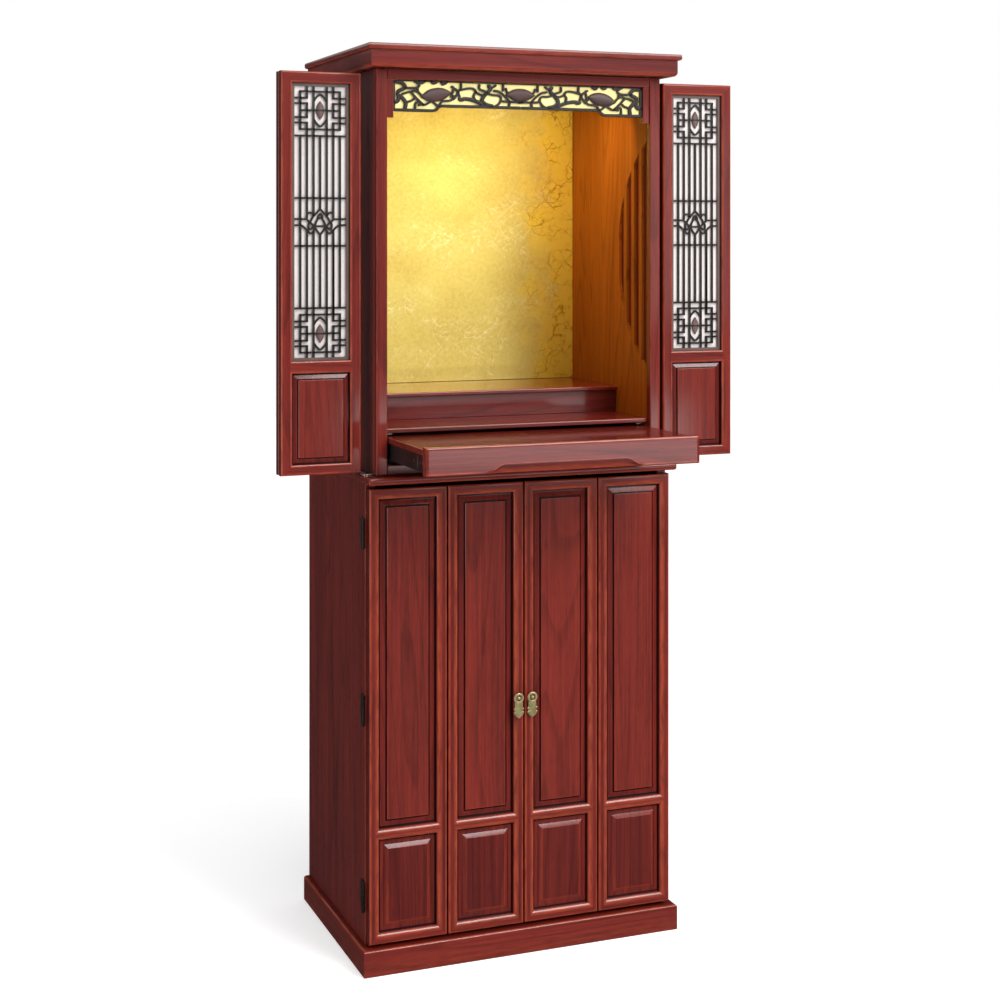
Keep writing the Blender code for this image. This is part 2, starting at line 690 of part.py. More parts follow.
def raised_panel(rings, rect, wide, deep, recess, groove, bevel, field):
    """A recess in a leaf's front with a raised field in it. Returns its ring on the front face."""
    made = [rings.ring(rect, inset, depth) for inset, depth in rounded(wide, deep, inwards=False)]
    made.append(rings.ring(rect, 0, recess))
    made.append(rings.ring(rect, groove, recess))
    made.append(rings.ring(rect, groove + bevel, field))
    rings.walls(made)
    rings.cap(made[-1])
    return made[0]


def lower_leaf_mesh():
    """A frame with a rounded front round a tall and a short raised panel, its lower edge's middle at the origin."""
    half = LOWER_LEAF_WIDTH / 2
    bottom, top = LOWER_LEAF_BOTTOM, LOWER_LEAF_TOP
    rings = Rings()
    front, back = frame_edge(
        rings, (-half, bottom, half, top), FRAME_ROUND_WIDE, FRAME_ROUND_DEEP, LOWER_LEAF_THICKNESS
    )
    side = half - FRAME_WIDTH
    tall = (-side, MID_RAIL_CENTRE + FRAME_WIDTH / 2, side, top - FRAME_WIDTH)
    short = (-side, bottom + FRAME_WIDTH, side, MID_RAIL_CENTRE - FRAME_WIDTH / 2)
    holes = [
        raised_panel(rings, r, FRAME_ROUND_WIDE, FRAME_ROUND_DEEP, PANEL_RECESS, PANEL_GROOVE, PANEL_BEVEL, PANEL_FIELD)
        for r in (tall, short)
    ]
    rings.cap(front, holes)
    rings.cap(back)
    return mesh_from("lower_leaf", rings.verts, rings.faces)


def upper_opening():
    """The lattice's opening in a leaf, as x0, z0, x1, z1."""
    side = UPPER_LEAF_WIDTH / 2 - UPPER_STILE
    return -side, UPPER_MID_TOP, side, UPPER_LEAF_TOP - UPPER_TOP_RAIL


def upper_leaf_mesh():
    """A frame open behind its lattice, with a raised panel below it."""
    half = UPPER_LEAF_WIDTH / 2
    rings = Rings()
    front, back = frame_edge(
        rings, (-half, UPPER_LEAF_BOTTOM, half, UPPER_LEAF_TOP), UPPER_EDGE_ROUND, UPPER_EDGE_ROUND, UPPER_LEAF_THICKNESS
    )
    opening = upper_opening()
    rebate_depth = LATTICE_RECESS + LATTICE_THICKNESS
    levels = rounded(UPPER_INNER_ROUND, UPPER_INNER_ROUND, inwards=False, steps=1)
    levels += [(0, rebate_depth), (-REBATE, rebate_depth), (-REBATE, UPPER_LEAF_THICKNESS)]
    through = [rings.ring(opening, inset, depth) for inset, depth in levels]
    rings.walls(through)
    panel = (opening[0], UPPER_LEAF_BOTTOM + UPPER_BOTTOM_RAIL, opening[2], UPPER_MID_BOTTOM)
    recess = raised_panel(
        rings, panel, UPPER_INNER_ROUND, UPPER_INNER_ROUND, UPPER_PANEL_RECESS, UPPER_PANEL_GROOVE, UPPER_PANEL_BEVEL,
        UPPER_PANEL_FIELD,
    )
    rings.cap(front, [through[0], recess])
    rings.cap(back, [through[-1]])
    return mesh_from("upper_leaf", rings.verts, rings.faces)


def bar_across(z, x0, x1):
    return rectangle(x0, z - BAR / 2, x1, z + BAR / 2)


def bar_upright(x, z0, z1):
    return rectangle(x - BAR / 2, z0, x + BAR / 2, z1)


def lattice_block(edge):
    """The square of bars at each end of a lattice, about (0, 0). edge is the half width inside the border."""
    short, inner, closing = BLOCK_OFFSETS
    first, third = -3 * BAR_PITCH, -BAR_PITCH
    left = [bar_upright(first, -inner, inner), bar_upright(third, -closing, closing)]
    for z in (short, -short):
        left.append(bar_across(z, -edge - BAR, third))
    shapes = left + mirror_x(left)
    for z in (inner, -inner):
        shapes.append(bar_across(z, first - BAR / 2, -first + BAR / 2))
    for sign in (-1, 1):
        side = ribbon([(0, sign * OVAL_HALF), (BAR_PITCH * 0.7, sign * OVAL_HALF * 0.55), (BAR_PITCH, 0)], 0.0022)
        shapes += side + mirror_x(side)
    shapes.append(lens((0, 0), LENS_TALL, LENS_WIDE, 2, math.pi / 2))
    shapes.append(bar_across(0, -BAR_PITCH, BAR_PITCH))
    return shapes


def lotus(edge):
    """A lotus in outline about (0, 0), tied to the border by two short bars on each side.

    Its places are in bar pitches, so the flower keeps its size against the bars round it."""
    ends = edge / BAR_PITCH + 0.15
    paths = [
        [(0, LOTUS_TOP), (0.48, 1.4), (1.0, 0.8), (1.4, 0)],
        [(0, -0.6), (0.9, -0.6), (1.45, -0.1), (1.95, 0.47), (ends, 0.47)],
        [(0, LOTUS_FOOT), (0.5, -1.3), (0.9, -0.6)],
        [(0.9, -0.6), (1.3, -1.57), (1.75, -1.49), (2.85, -0.47), (ends, -0.47)],
    ]
    shapes = []
    for path in paths:
        right = ribbon([(x * BAR_PITCH, z * BAR_PITCH) for x, z in path], BAR)
        shapes += right + mirror_x(right)
    return shapes


def lattice_mesh():
    """Dark bars inside a thin border: a block at each end, uprights between them and a lotus in the middle."""
    x0, z0, x1, z1 = upper_opening()
    half = (x1 - x0) / 2 - GAP
    tall = (z1 - z0) / 2 - GAP
    edge = half - LATTICE_BORDER
    closing = BLOCK_OFFSETS[2]
    outer = rectangle(-half, -tall, half, tall)
    inside = rectangle(-edge, -tall + LATTICE_BORDER_TALL, edge, tall - LATTICE_BORDER_TALL)
    points, triangles = flat_union([outer], [inside])
    shapes = [[tuple(points[i]) for i in t] for t in triangles]
    from_middle = tall - BLOCK_FROM_END
    for sign in (-1, 1):
        middle = sign * from_middle
        for shape in lattice_block(edge):
            shapes.append([(x, z + middle) for x, z in shape])
        shapes.append(bar_across(middle - sign * closing, -edge - 0.001, edge + 0.001))
        shapes.append(bar_across(sign * MIDDLE_BARS, -edge - 0.001, edge + 0.001))
    reach = from_middle - closing
    stops = [(LOTUS_TOP - 0.05, -LOTUS_FOOT - 0.05), (0.8, 1.35), (0.47, 1.1), (0, 0)]
    for column in range(-3, 4):
        above, below = [BAR_PITCH * stop for stop in stops[abs(column)]]
        x = column * BAR_PITCH
        shapes.append(bar_upright(x, above, reach))
        shapes.append(bar_upright(x, -reach, -below))
    shapes += lotus(edge)
    return sheet("lattice", shapes, [], 0, LATTICE_THICKNESS)


def pane_mesh():
    x0, z0, x1, z1 = upper_opening()
    grow = REBATE - GAP
    half = (x1 - x0) / 2 + grow
    tall = (z1 - z0) / 2 + grow
    return sheet("pane", [rectangle(-half, -tall, half, tall)], [], 0, PANE_THICKNESS)


def empty(name, parent, place, turn):
    """A joint's axis: a vertical one through place, turned from the closed position to the stored one."""
    made = bpy.data.objects.new(name, None)
    bpy.context.scene.collection.objects.link(made)
    made.parent = parent
    made.location = place
    made.rotation_euler = (0, 0, turn)
    return made


def upper_doors():
    leaf, lattice, pane = upper_leaf_mesh(), lattice_mesh(), pane_mesh()
    x0, z0, x1, z1 = upper_opening()
    middle = (z0 + z1) / 2
    closed_back = UPPER_CLOSED_FRONT + UPPER_LEAF_THICKNESS
    fold_front = closed_back + FOLD_CLEARANCE
    inner_middle = LEAF_GAP / 2 + UPPER_LEAF_WIDTH / 2
    outer_middle = inner_middle + LEAF_GAP + UPPER_LEAF_WIDTH
    fold_middle = inner_middle + UPPER_LEAF_WIDTH / 2 + LEAF_GAP / 2
    for side, sign in (("left", -1), ("right", 1)):
        pin = empty(f"upper_{side}_pin", None, (sign * UPPER_PIN_HALF, FRONT + UPPER_PIN_FRONT, 0), math.pi)
        fold = empty(
            f"upper_{side}_fold",
            pin,
            (sign * (fold_middle - UPPER_PIN_HALF), fold_front - UPPER_PIN_FRONT, 0),
            math.pi,
        )
        places = {
            "outer": (pin, sign * (outer_middle - UPPER_PIN_HALF), UPPER_CLOSED_FRONT - UPPER_PIN_FRONT),
            "inner": (fold, sign * (inner_middle - fold_middle), UPPER_CLOSED_FRONT - fold_front),
        }
        for which, (parent, x, y) in places.items():
            name = f"upper_{which}_leaf_{side}"
            add(name, leaf, CHERRY, parent, (x, y, 0))
            add(f"{name}_lattice", lattice, DARK, parent, (x, y + LATTICE_RECESS, middle))
            depth = y + LATTICE_RECESS + LATTICE_THICKNESS + GAP
            add(f"{name}_pane", pane, PANE, parent, (x, depth, middle))
        pivot_hardware(side, sign, pin)


def pivot_hardware(side, sign, pin):
    """A plate on the ledge and the cranked arm that carries the outer leaf on it."""
    top = LEDGE_TOP + GAP + PIVOT_PLATE
    outer = sign * (UPPER_PIN_HALF + 0.0025)
    inner = sign * (UPPER_PIN_HALF + 0.0025 - PIVOT_PLATE_LENGTH)
    box(
        f"upper_pivot_plate_{side}", STEEL, sorted((outer, inner)),
        (UPPER_PIN_FRONT - PIVOT_PLATE_WIDTH / 2, UPPER_PIN_FRONT + PIVOT_PLATE_WIDTH / 2), (LEDGE_TOP + GAP, top),
    )
    arm = PIVOT_ARM_WIDTH / 2
    eye = [
        (arm * math.cos(math.tau * k / ROUND_SIDES), arm * math.sin(math.tau * k / ROUND_SIDES))
        for k in range(ROUND_SIDES)
    ]
    back = UPPER_CLOSED_FRONT - UPPER_PIN_FRONT + 0.004
    reach = sign * (UPPER_LEAF_WIDTH * 2 + 1.5 * LEAF_GAP - UPPER_PIN_HALF - 0.030)
    shank = [(-arm, 0), (-arm, back), (arm, back), (arm, 0)]
    foot = [(-arm, back), (reach, back), (reach, back + PIVOT_ARM_WIDTH), (-arm, back + PIVOT_ARM_WIDTH)]
    if sign > 0:
        foot = [(arm, back), (reach, back), (reach, back + PIVOT_ARM_WIDTH), (arm, back + PIVOT_ARM_WIDTH)]
    points, triangles = flat_union([eye, shank, foot])
    count = len(points)
    verts = [(x, y, z) for z in (0, PIVOT_ARM) for x, y in points]
    faces = [list(t) for t in triangles] + [[i + count for i in reversed(t)] for t in triangles]
    edges = {(a, b) for t in triangles for a, b in zip(t, t[1:] + t[:1])}
    faces += [[b, a, a + count, b + count] for a, b in edges if (b, a) not in edges]
    name = f"upper_pivot_arm_{side}"
    add(name, mesh_from(name, verts, faces), STEEL, pin, (0, 0, top + GAP))


def lower_doors():
    leaf = lower_leaf_mesh()
    drop = pull_mesh()
    stud = stud_mesh()
    inner_middle = LEAF_GAP / 2 + LOWER_LEAF_WIDTH / 2
    outer_middle = inner_middle + LEAF_GAP + LOWER_LEAF_WIDTH
    fold_middle = inner_middle + LOWER_LEAF_WIDTH / 2 + LEAF_GAP / 2
    fold_front = LOWER_LEAF_THICKNESS + FOLD_CLEARANCE
    for side, sign in (("left", -1), ("right", 1)):
        pin = empty(f"lower_{side}_pin", None, (sign * LOWER_PIN_HALF, FRONT + LOWER_PIN_FRONT, 0), 0)
        fold = empty(
            f"lower_{side}_fold", pin, (sign * (fold_middle - LOWER_PIN_HALF), fold_front - LOWER_PIN_FRONT, 0), 0
        )
        outer_place = (sign * (outer_middle - LOWER_PIN_HALF), -LOWER_PIN_FRONT, 0)
        add(f"lower_outer_leaf_{side}", leaf, CHERRY, pin, outer_place)
        add(f"lower_inner_leaf_{side}", leaf, CHERRY, fold, (sign * (inner_middle - fold_middle), -fold_front, 0))
        eye = (sign * (PULL_OFFSET - fold_middle), -fold_front, PULL_TOP - PULL_HEAD_RADIUS)
        add(f"pull_stud_{side}", stud, BRASS, fold, eye)
        swing = eye[1] - PULL_STANDOFF - PULL_THICKNESS / 2
        add(f"pull_drop_{side}", drop, BRASS, fold, (eye[0], swing, eye[2]))


def pull_mesh():
    """A flat brass drop about its eye: a round head, a waist and a lobed foot with a knob on each side."""
    foot = PULL_HEIGHT - 2 * PULL_HEAD_RADIUS
    head = [
        (PULL_HEAD_RADIUS * math.cos(math.tau * k / 16), PULL_HEAD_RADIUS * math.sin(math.tau * k / 16))
        for k in range(16)
    ]
    eye = [
        (PULL_EYE_RADIUS * math.cos(math.tau * k / 12), PULL_EYE_RADIUS * math.sin(math.tau * k / 12))
        for k in range(12)
    ]
    low = -PULL_HEAD_RADIUS - foot
    side = smooth([
        (0, -PULL_HEAD_RADIUS * 0.6), (PULL_WAIST_HALF * 1.3, -PULL_HEAD_RADIUS * 0.95),
        (PULL_WAIST_HALF, low * 0.45), (PULL_WAIST_HALF * 1.25, low * 0.62),
        (PULL_FOOT_HALF, low * 0.74), (PULL_FOOT_HALF * 0.75, low * 0.86),
        (PULL_FOOT_HALF * 0.45, low * 0.95), (0, low),
    ], 2)
    body = side + [(-x, z) for x, z in reversed(side[1:-1])]
    knobs = []
    for sign in (-1, 1):
        turns = [math.tau * k / 8 for k in range(8)]
        middle = (sign * PULL_FOOT_HALF, low * 0.74)
        knobs.append([(middle[0] + PULL_KNOB * math.cos(t), middle[1] + PULL_KNOB * math.sin(t)) for t in turns])
    return sheet("pull_drop", [head, body, *knobs], [eye], -PULL_THICKNESS / 2, PULL_THICKNESS)


def stud_mesh():
    """A short post with a rounded cap that the drop hangs from, pointing to the front."""
    mesh = bpy.data.meshes.new("pull_stud")
    work = bmesh.new()
    cap_back = -STUD_REACH + 0.6 * STUD_REACH
    profile = [
        (0.0, -GAP), (STUD_BASE, -GAP), (STUD_BASE, -GAP - 0.0006), (STUD_NECK, -GAP - 0.0006),
        (STUD_NECK, cap_back), (STUD_CAP, cap_back - 0.001), (STUD_CAP, -STUD_REACH + 0.0018),
        (STUD_CAP * 0.6, -STUD_REACH + 0.0004), (0.0, -STUD_REACH),
    ]
    verts = [work.verts.new((x, y, 0)) for x, y in profile]
    edges = [work.edges.new(pair) for pair in zip(verts, verts[1:])]
    bmesh.ops.spin(
        work, geom=[*verts, *edges], cent=(0, 0, 0), axis=(0, 1, 0), angle=math.tau, steps=ROUND_SIDES, use_merge=True
    )
    bmesh.ops.remove_doubles(work, verts=work.verts, dist=1e-6)
    bmesh.ops.recalc_face_normals(work, faces=work.faces)
    work.to_mesh(mesh)
    work.free()
    return mesh


def hinge_heights():
    """Heights of a lower door's three hinges. The outer two are as far from its ends, the middle one sits higher."""
    low = LOWER_LEAF_BOTTOM + HINGE_FROM_END
    high = LOWER_LEAF_TOP - HINGE_FROM_END
    return low, (low + high) / 2 + HINGE_MIDDLE_RISE, high


def lower_hinges():
    """Black butt hinges: a plate on the cabinet's side and a barrel at the leaf's edge."""
    for side, sign in (("left", -1), ("right", 1)):
        for number, height in enumerate(hinge_heights(), 1):
            turns = [math.tau * k / ROUND_SIDES for k in range(ROUND_SIDES)]
            outline = [(HINGE_BARREL * math.cos(t), HINGE_BARREL * math.sin(t)) for t in turns]
            inner = LOWER_PIN_HALF - LOWER_HALF - GAP
            plate = rectangle(
                -sign * inner, 0.0, -sign * (inner - HINGE_PLATE), HINGE_PLATE_WIDTH
            )
            name = f"lower_hinge_{side}_{number}"
            points, triangles = flat_union([outline, plate])
            count = len(points)
            verts = [(x, y, z) for z in (-HINGE_HEIGHT / 2, HINGE_HEIGHT / 2) for x, y in points]
            faces = [list(t) for t in triangles] + [[i + count for i in reversed(t)] for t in triangles]
            edges = {(a, b) for t in triangles for a, b in zip(t, t[1:] + t[:1])}
            faces += [[b, a, a + count, b + count] for a, b in edges if (b, a) not in edges]
            place = (sign * LOWER_PIN_HALF, FRONT + LOWER_PIN_FRONT, height)
            add(name, mesh_from(name, verts, faces), BLACK, None, place)


# Tray


def tray():
    runner = empty("tray_slide", None, (0, FRONT + TRAY_FRONT, APRON_TOP), 0)
    add_apron(runner)
    board_front = TRAY_FRONT + APRON_THICKNESS + GAP
    board = box(
        "tray_board", CHERRY, (-TRAY_HALF, TRAY_HALF), (board_front, board_front + TRAY_REACH),
        (TRAY_TOP - TRAY_THICKNESS, TRAY_TOP),
    )
    pieces = [board]
    for side, sign in (("left", -1), ("right", 1)):
        outer = sign * (POST_INNER - GAP)
        pieces_x = sorted((outer, outer - sign * SLIDE_OUTER))
        channel(f"slide_outer_{side}", pieces_x, sign, (SLIDE_FRONT, SLIDE_FRONT + SLIDE_LENGTH))
        inner = outer - sign * (SLIDE_OUTER + 0.0005)
        limits = sorted((inner, inner - sign * SLIDE_INNER))
        pieces.append(box(
            f"slide_inner_{side}", BLACK, limits, (board_front + GAP, board_front + SLIDE_LENGTH),
            (SLIDE_BOTTOM + SLIDE_LIP, TRAY_TOP - TRAY_THICKNESS - GAP),
        ))
    for piece in pieces:
        piece.parent = runner
        piece.location = piece.location - runner.location


def channel(name, x, sign, y):
    """A fixed C-shaped slide, its open side towards the middle of the cabinet."""
    web = 0.0015
    lip = 0.0015
    back = (x[1] - web, x[1]) if sign > 0 else (x[0], x[0] + web)
    top = SLIDE_TOP
    shapes = [
        rectangle(back[0], SLIDE_BOTTOM, back[1], top),
        rectangle(x[0], SLIDE_BOTTOM, x[1], SLIDE_BOTTOM + lip),
        rectangle(x[0], top - lip, x[1], top),
    ]
    mesh = sheet(name, shapes, [], 0, y[1] - y[0])
    add(name, mesh, BLACK, None, (0, FRONT + y[0], 0))


def add_apron(runner):
    """The tray's front board, with a shallow finger recess along its lower edge, arched at both ends."""
    arch = [(-ARCH_HALF_BOTTOM, 0.0)]
    for k in range(ARCH_STEPS + 1):
        t = k / ARCH_STEPS
        ease = t * t * (3 - 2 * t)
        arch.append((-ARCH_HALF_BOTTOM + (ARCH_HALF_BOTTOM - ARCH_HALF_TOP) * t, ARCH_HEIGHT * ease))
    outline = arch[1:]
    outline += [(-x, z) for x, z in reversed(outline)]
    height = APRON_TOP - APRON_BOTTOM
    face = rectangle(-TRAY_HALF, 0, TRAY_HALF, height)
    cut = [(-ARCH_HALF_BOTTOM, -0.001), *outline, (ARCH_HALF_BOTTOM, -0.001)]
    board = bpy.data.objects.new("tray_apron", sheet("tray_apron", [face], [], 0, APRON_THICKNESS))
    board.data.materials.append(material(CHERRY))
    cutter = bpy.data.objects.new("arch_cutter", sheet("arch_cutter", [cut], [], -0.002, ARCH_DEPTH + 0.002))
    for obj in (board, cutter):
        bpy.context.scene.collection.objects.link(obj)
        obj.parent = runner
        obj.location = (0, 0, -height)
    cutter.hide_render = True
    cutter.display_type = "WIRE"
    rounding = board.modifiers.new("round_edges", "BEVEL")
    rounding.width = APRON_ROUND
    rounding.segments = 1
    rounding.limit_method = "ANGLE"
    cutting = board.modifiers.new("finger_recess", "BOOLEAN")
    cutting.operation = "DIFFERENCE"
    cutting.object = cutter


clear_scene()
plinth()
lower_carcass()
upper_carcass()
cornice()
shrine_fittings()
lintel_and_strips()
transom()
upper_doors()
lower_doors()
lower_hinges()
tray()
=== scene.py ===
# %% [markdown]
# # A household altar cabinet
#
# The real thing is a tall cabinet of cherry-stained wood. Its lower half is a cupboard behind four folding
# leaves. Its upper half is an open shrine with a gold back, a moon window cut into each side wall, a
# pull-out tray and four latticed leaves that fold away beside the posts. The construction, with its joints,
# is loaded as a fixed frame. Everything below dresses it: finer surfaces where the frame's are coarse, and
# a finish for each.

# %% Load the frame and measure it
import math

import bmesh
import bpy
import numpy as np
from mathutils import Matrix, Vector


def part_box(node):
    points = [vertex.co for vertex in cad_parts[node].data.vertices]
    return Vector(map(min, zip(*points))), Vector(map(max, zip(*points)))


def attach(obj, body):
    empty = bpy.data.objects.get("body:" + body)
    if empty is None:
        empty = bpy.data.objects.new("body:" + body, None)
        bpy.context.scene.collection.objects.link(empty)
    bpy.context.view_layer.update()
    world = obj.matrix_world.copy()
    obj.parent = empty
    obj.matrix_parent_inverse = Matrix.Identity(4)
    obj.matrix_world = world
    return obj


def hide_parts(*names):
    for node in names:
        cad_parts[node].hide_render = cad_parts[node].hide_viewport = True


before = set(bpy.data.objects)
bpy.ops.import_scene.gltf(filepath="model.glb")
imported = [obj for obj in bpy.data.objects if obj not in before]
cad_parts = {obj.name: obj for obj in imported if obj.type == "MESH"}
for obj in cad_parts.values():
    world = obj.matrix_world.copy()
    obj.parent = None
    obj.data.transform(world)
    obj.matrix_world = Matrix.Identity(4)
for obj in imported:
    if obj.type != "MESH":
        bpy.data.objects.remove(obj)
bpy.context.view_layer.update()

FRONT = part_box("lower_inner_leaf_left")[0].y
print("frame:", len(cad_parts), "pieces, door plane at y =", round(FRONT, 4))

# %% [markdown]
# ## Shells, patches and boards
#
# A turned or moulded surface could be modelled by hand, but every edge on this cabinet is a profile carried
# along a straight line or round a rectangle. So each piece is worked out as a grid of points with numpy. A
# grid with its faces is a patch, and a shell is one or more patches sewn together. Wood also needs to know
# which way its fibres run, so every patch carries two extra values: where each corner lies in its own
# board, and how much its edge is rounded and worn. The second value also paints highlight on rounded edges
# and shade in grooves and gaps.

# %% Grids of faces, and the board that a patch is cut from
GRAIN_ORDER = {"X": (1, 2, 0), "Y": (2, 0, 1), "Z": (0, 1, 2)}
board_numbers = np.random.default_rng(11)


def grid_faces(rows, columns, closed=False):
    """The quads between neighbouring rows and columns of a grid, the last column joined to the first if
    closed."""
    r, c = np.meshgrid(np.arange(rows - 1), np.arange(columns if closed else columns - 1), indexing="ij")
    row, after = r * columns, (c + 1) % columns
    quads = np.stack([row + c, row + after, row + columns + after, row + columns + c], -1)
    return quads.reshape(-1, 4).tolist()


def lids(rows, columns):
    """The two faces that close the ends of a tube of closed rows."""
    return [list(range(columns))[::-1], [(rows - 1) * columns + k for k in range(columns)]]


def patch(points, faces, along="Z", worn=0.0, board=None):
    """Points, faces, places in the board, and edge wear with painted highlight and shade. A board is the
    space of the points with its fibres along Z, moved by a random amount, so that no two boards show the same
    grain."""
    points = np.asarray(points, float).reshape(-1, 3)
    shift = board_numbers.uniform(-4, 4, 3) if board is None else board
    worn = np.broadcast_to(np.asarray(worn, float).ravel(), len(points))
    return points, faces, points[:, GRAIN_ORDER[along]] + shift, worn


def grid_patch(points, along="Z", worn=0.0, board=None, closed=False):
    """A patch from a grid of points."""
    rows, columns = points.shape[:2]
    return patch(points, grid_faces(rows, columns, closed), along, worn, board)


# %% Sew patches into one object
def shell(name, patches, body, finish, replaces=(), sharp=34, merge=2e-6):
    """Joins the patches where their points meet, turns the faces out and lets the piece ride on its body.

    Edges that bend by less than the sharp angle shade smoothly, and large flat faces keep their own
    direction."""
    starts = np.cumsum([0] + [len(p[0]) for p in patches])
    faces = [[i + start for i in face] for p, start in zip(patches, starts) for face in p[1]]
    mesh = bpy.data.meshes.new(name)
    mesh.from_pydata(np.concatenate([p[0] for p in patches]), [], faces)
    corners = np.array([i for face in faces for i in face])
    grain = mesh.attributes.new("grain", "FLOAT_VECTOR", "CORNER")
    grain.data.foreach_set("vector", np.concatenate([p[2] for p in patches])[corners].ravel())
    worn = mesh.attributes.new("worn", "FLOAT", "CORNER")
    worn.data.foreach_set("value", np.concatenate([p[3] for p in patches])[corners])
    work = bmesh.new()
    work.from_mesh(mesh)
    bmesh.ops.remove_doubles(work, verts=work.verts, dist=merge)
    bmesh.ops.recalc_face_normals(work, faces=work.faces)
    work.to_mesh(mesh)
    work.free()
    mesh.shade_smooth()
    mesh.set_sharp_from_angle(angle=math.radians(sharp))
    obj = bpy.data.objects.new(name, mesh)
    bpy.context.scene.collection.objects.link(obj)
    flats = obj.modifiers.new("keep_flats_flat", "WEIGHTED_NORMAL")
    flats.keep_sharp = True
    mesh.materials.append(finish)
    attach(obj, body)
    if replaces:
        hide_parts(*replaces)
    return obj


# %% [markdown]
# ## Rounded boards and round bars
#
# Most boards are plain boxes whose edges were eased with sandpaper. A Bevel modifier would do it, but a
# closed formula is as short: take a small sphere, cut it into its eight octants, and pull them apart to the
# corners of the box. The faces that open up between them are flat, and the octants are the rounded corners
# and edges.

# %% A box with rounded edges
def rounded_box(low, high, radius, along="Z", steps=3):
    """Each point is a corner of the inner box plus the radius times a direction on the unit sphere, with
    the direction and the corner always in the same octant. Wear, which also stands for a painted highlight on
    the rounded edge, is greatest where the direction is between two axes."""
    low, high = np.array(low, float), np.array(high, float)
    middle, half = (low + high) / 2, (high - low) / 2
    radius = min(radius, 0.98 * half.min())
    quarter = np.linspace(0, np.pi / 2, steps + 1)
    turn = (quarter + np.arange(4)[:, None] * np.pi / 2).ravel()
    rise = np.concatenate([quarter - np.pi / 2, quarter])
    side = [np.repeat(s, steps + 1) for s in ([1, -1, -1, 1], [1, 1, -1, -1], [-1, 1])]
    flat = np.cos(rise)[:, None]
    direction = np.stack([flat * np.cos(turn), flat * np.sin(turn), np.sin(rise)[:, None] + 0 * turn], -1)
    corner = np.stack(np.broadcast_arrays(side[0], side[1], side[2][:, None]), -1)
    points = middle + corner * (half - radius) + radius * direction
    worn = np.clip((1 - np.abs(direction).max(-1)) / 0.29, 0, 1)
    rows, columns = points.shape[:2]
    faces = grid_faces(rows, columns, closed=True)
    first = [k * (steps + 1) for k in range(4)]
    faces += [first[::-1], [(rows - 1) * columns + i for i in first]]
    return patch(points, faces, along, worn)


def board_for(node, radius, along):
    """A rounded board that takes the place and size of one of the frame's pieces."""
    return shell(node + "_board", [rounded_box(*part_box(node), radius, along)], "cabinet", cherry, [node])


# %% A round bar, and a solid of revolution
def turned(profile, centre, axis="Z", around=24):
    """A profile of (radius, height) turned about an axis through the centre. Both its ends lie on the
    axis."""
    profile = np.asarray(profile, float)
    angle = np.linspace(0, 2 * np.pi, around, endpoint=False)
    radius, height = profile[:, :1], profile[:, 1:]
    a, b, c = radius * np.cos(angle), radius * np.sin(angle), height + 0 * angle
    order = {"Z": (a, b, c), "X": (c, a, b), "Y": (b, c, a)}[axis]
    return grid_patch(np.stack(order, -1) + np.array(centre), closed=True)


def bar_profile(radius, length, ease=0.0004):
    """A round bar's profile, its two rims eased."""
    half = length / 2
    foot = [(0, -half), (radius - ease, -half), (radius, -half + ease)]
    return foot + [(radius, half - ease), (radius - ease, half), (0, half)]


# %% [markdown]
# ## Mouldings round a rectangle
#
# Door frames, raised panels, the plinth and the cornice are all a profile carried round a rectangle and
# mitred at its corners. For each point of the profile the rectangle shrinks by one value, the inset, and
# moves back by another, the depth. That gives a stack of rectangles, and the surface between them is four
# strips.

# %% Carry a profile round a rectangle
def eased(wide, deep, steps=9):
    """A quarter of an ellipse from a flat front, (wide, 0), to a side wall, (0, deep), as (inset,
    depth)."""
    turn = np.linspace(0, np.pi / 2, steps + 1)
    return np.stack([wide * (1 - np.sin(turn)), deep * (1 - np.cos(turn))], -1)


def strips(loops, alongs, worn=0.0, board=None):
    """Four patches from a stack of four-cornered loops: one for each side, with its own fibre direction and,
    unless one board is given for all, a board of its own."""
    loops = np.asarray(loops)
    row_wear_sheen_shade = np.repeat(np.broadcast_to(worn, len(loops)), 2)
    return [grid_patch(loops[:, [k, (k + 1) % 4]], alongs[k], row_wear_sheen_shade, board) for k in range(4)]


def rectangles(rect, profile, face, inward):
    """The loops of a profile round an upright rectangle (x0, z0, x1, z1): bottom, right, top and left, in
    that order. face is the y of the front, and inward is +1 where depth grows towards the back, -1 where it
    grows to the front."""
    x0, z0, x1, z1 = rect
    inset, depth = np.asarray(profile, float).T
    x = np.stack([x0 + inset, x1 - inset, x1 - inset, x0 + inset], -1)
    z = np.stack([z0 + inset, z0 + inset, z1 - inset, z1 - inset], -1)
    y = np.repeat((face + inward * depth)[:, None], 4, 1)
    return np.stack([x, y, z], -1)


def flat(rect, y, along, board=None, worn=0.0):
    """A flat upright rectangle at one depth."""
    x0, z0, x1, z1 = rect
    corners = [(x0, y, z0), (x1, y, z0), (x1, y, z1), (x0, y, z1)]
    return patch(corners, [[0, 1, 2, 3]], along, worn, board)


print("helpers ready")

# %% [markdown]
# ## Finishes
#
# The wood could be a photographed texture, but a pattern of nodes stays sharp at any size and needs no
# file. Wood is built the way it grows: slow bands of colour, fine fibres stretched along the grain, and
# pores that are short dark dashes. The lacquer over it is a clear coat. Where an edge is rounded it wears
# through to a warmer brown, which is partly real wear and partly a painted highlight along the edge. In
# grooves, in the window's rim and along the leaves' sides the colour is darkened almost to black as painted
# shade. All of it reads the grain and wear values that each patch carries, so it runs along every board and
# turns at every mitre.


def node_tools(tree):
    """Two functions for a tree of nodes: one sets or links a node's sockets, and one adds a node."""

    def fill(node, inputs):
        for key, value in inputs.items():
            if isinstance(value, bpy.types.NodeSocket):
                tree.links.new(value, node.inputs[key])
            else:
                node.inputs[key].default_value = value

    def add(kind, inputs=None, **settings):
        node = tree.nodes.new("ShaderNode" + kind)
        for key, value in settings.items():
            setattr(node, key, value)
        fill(node, inputs or {})
        return node

    return fill, add


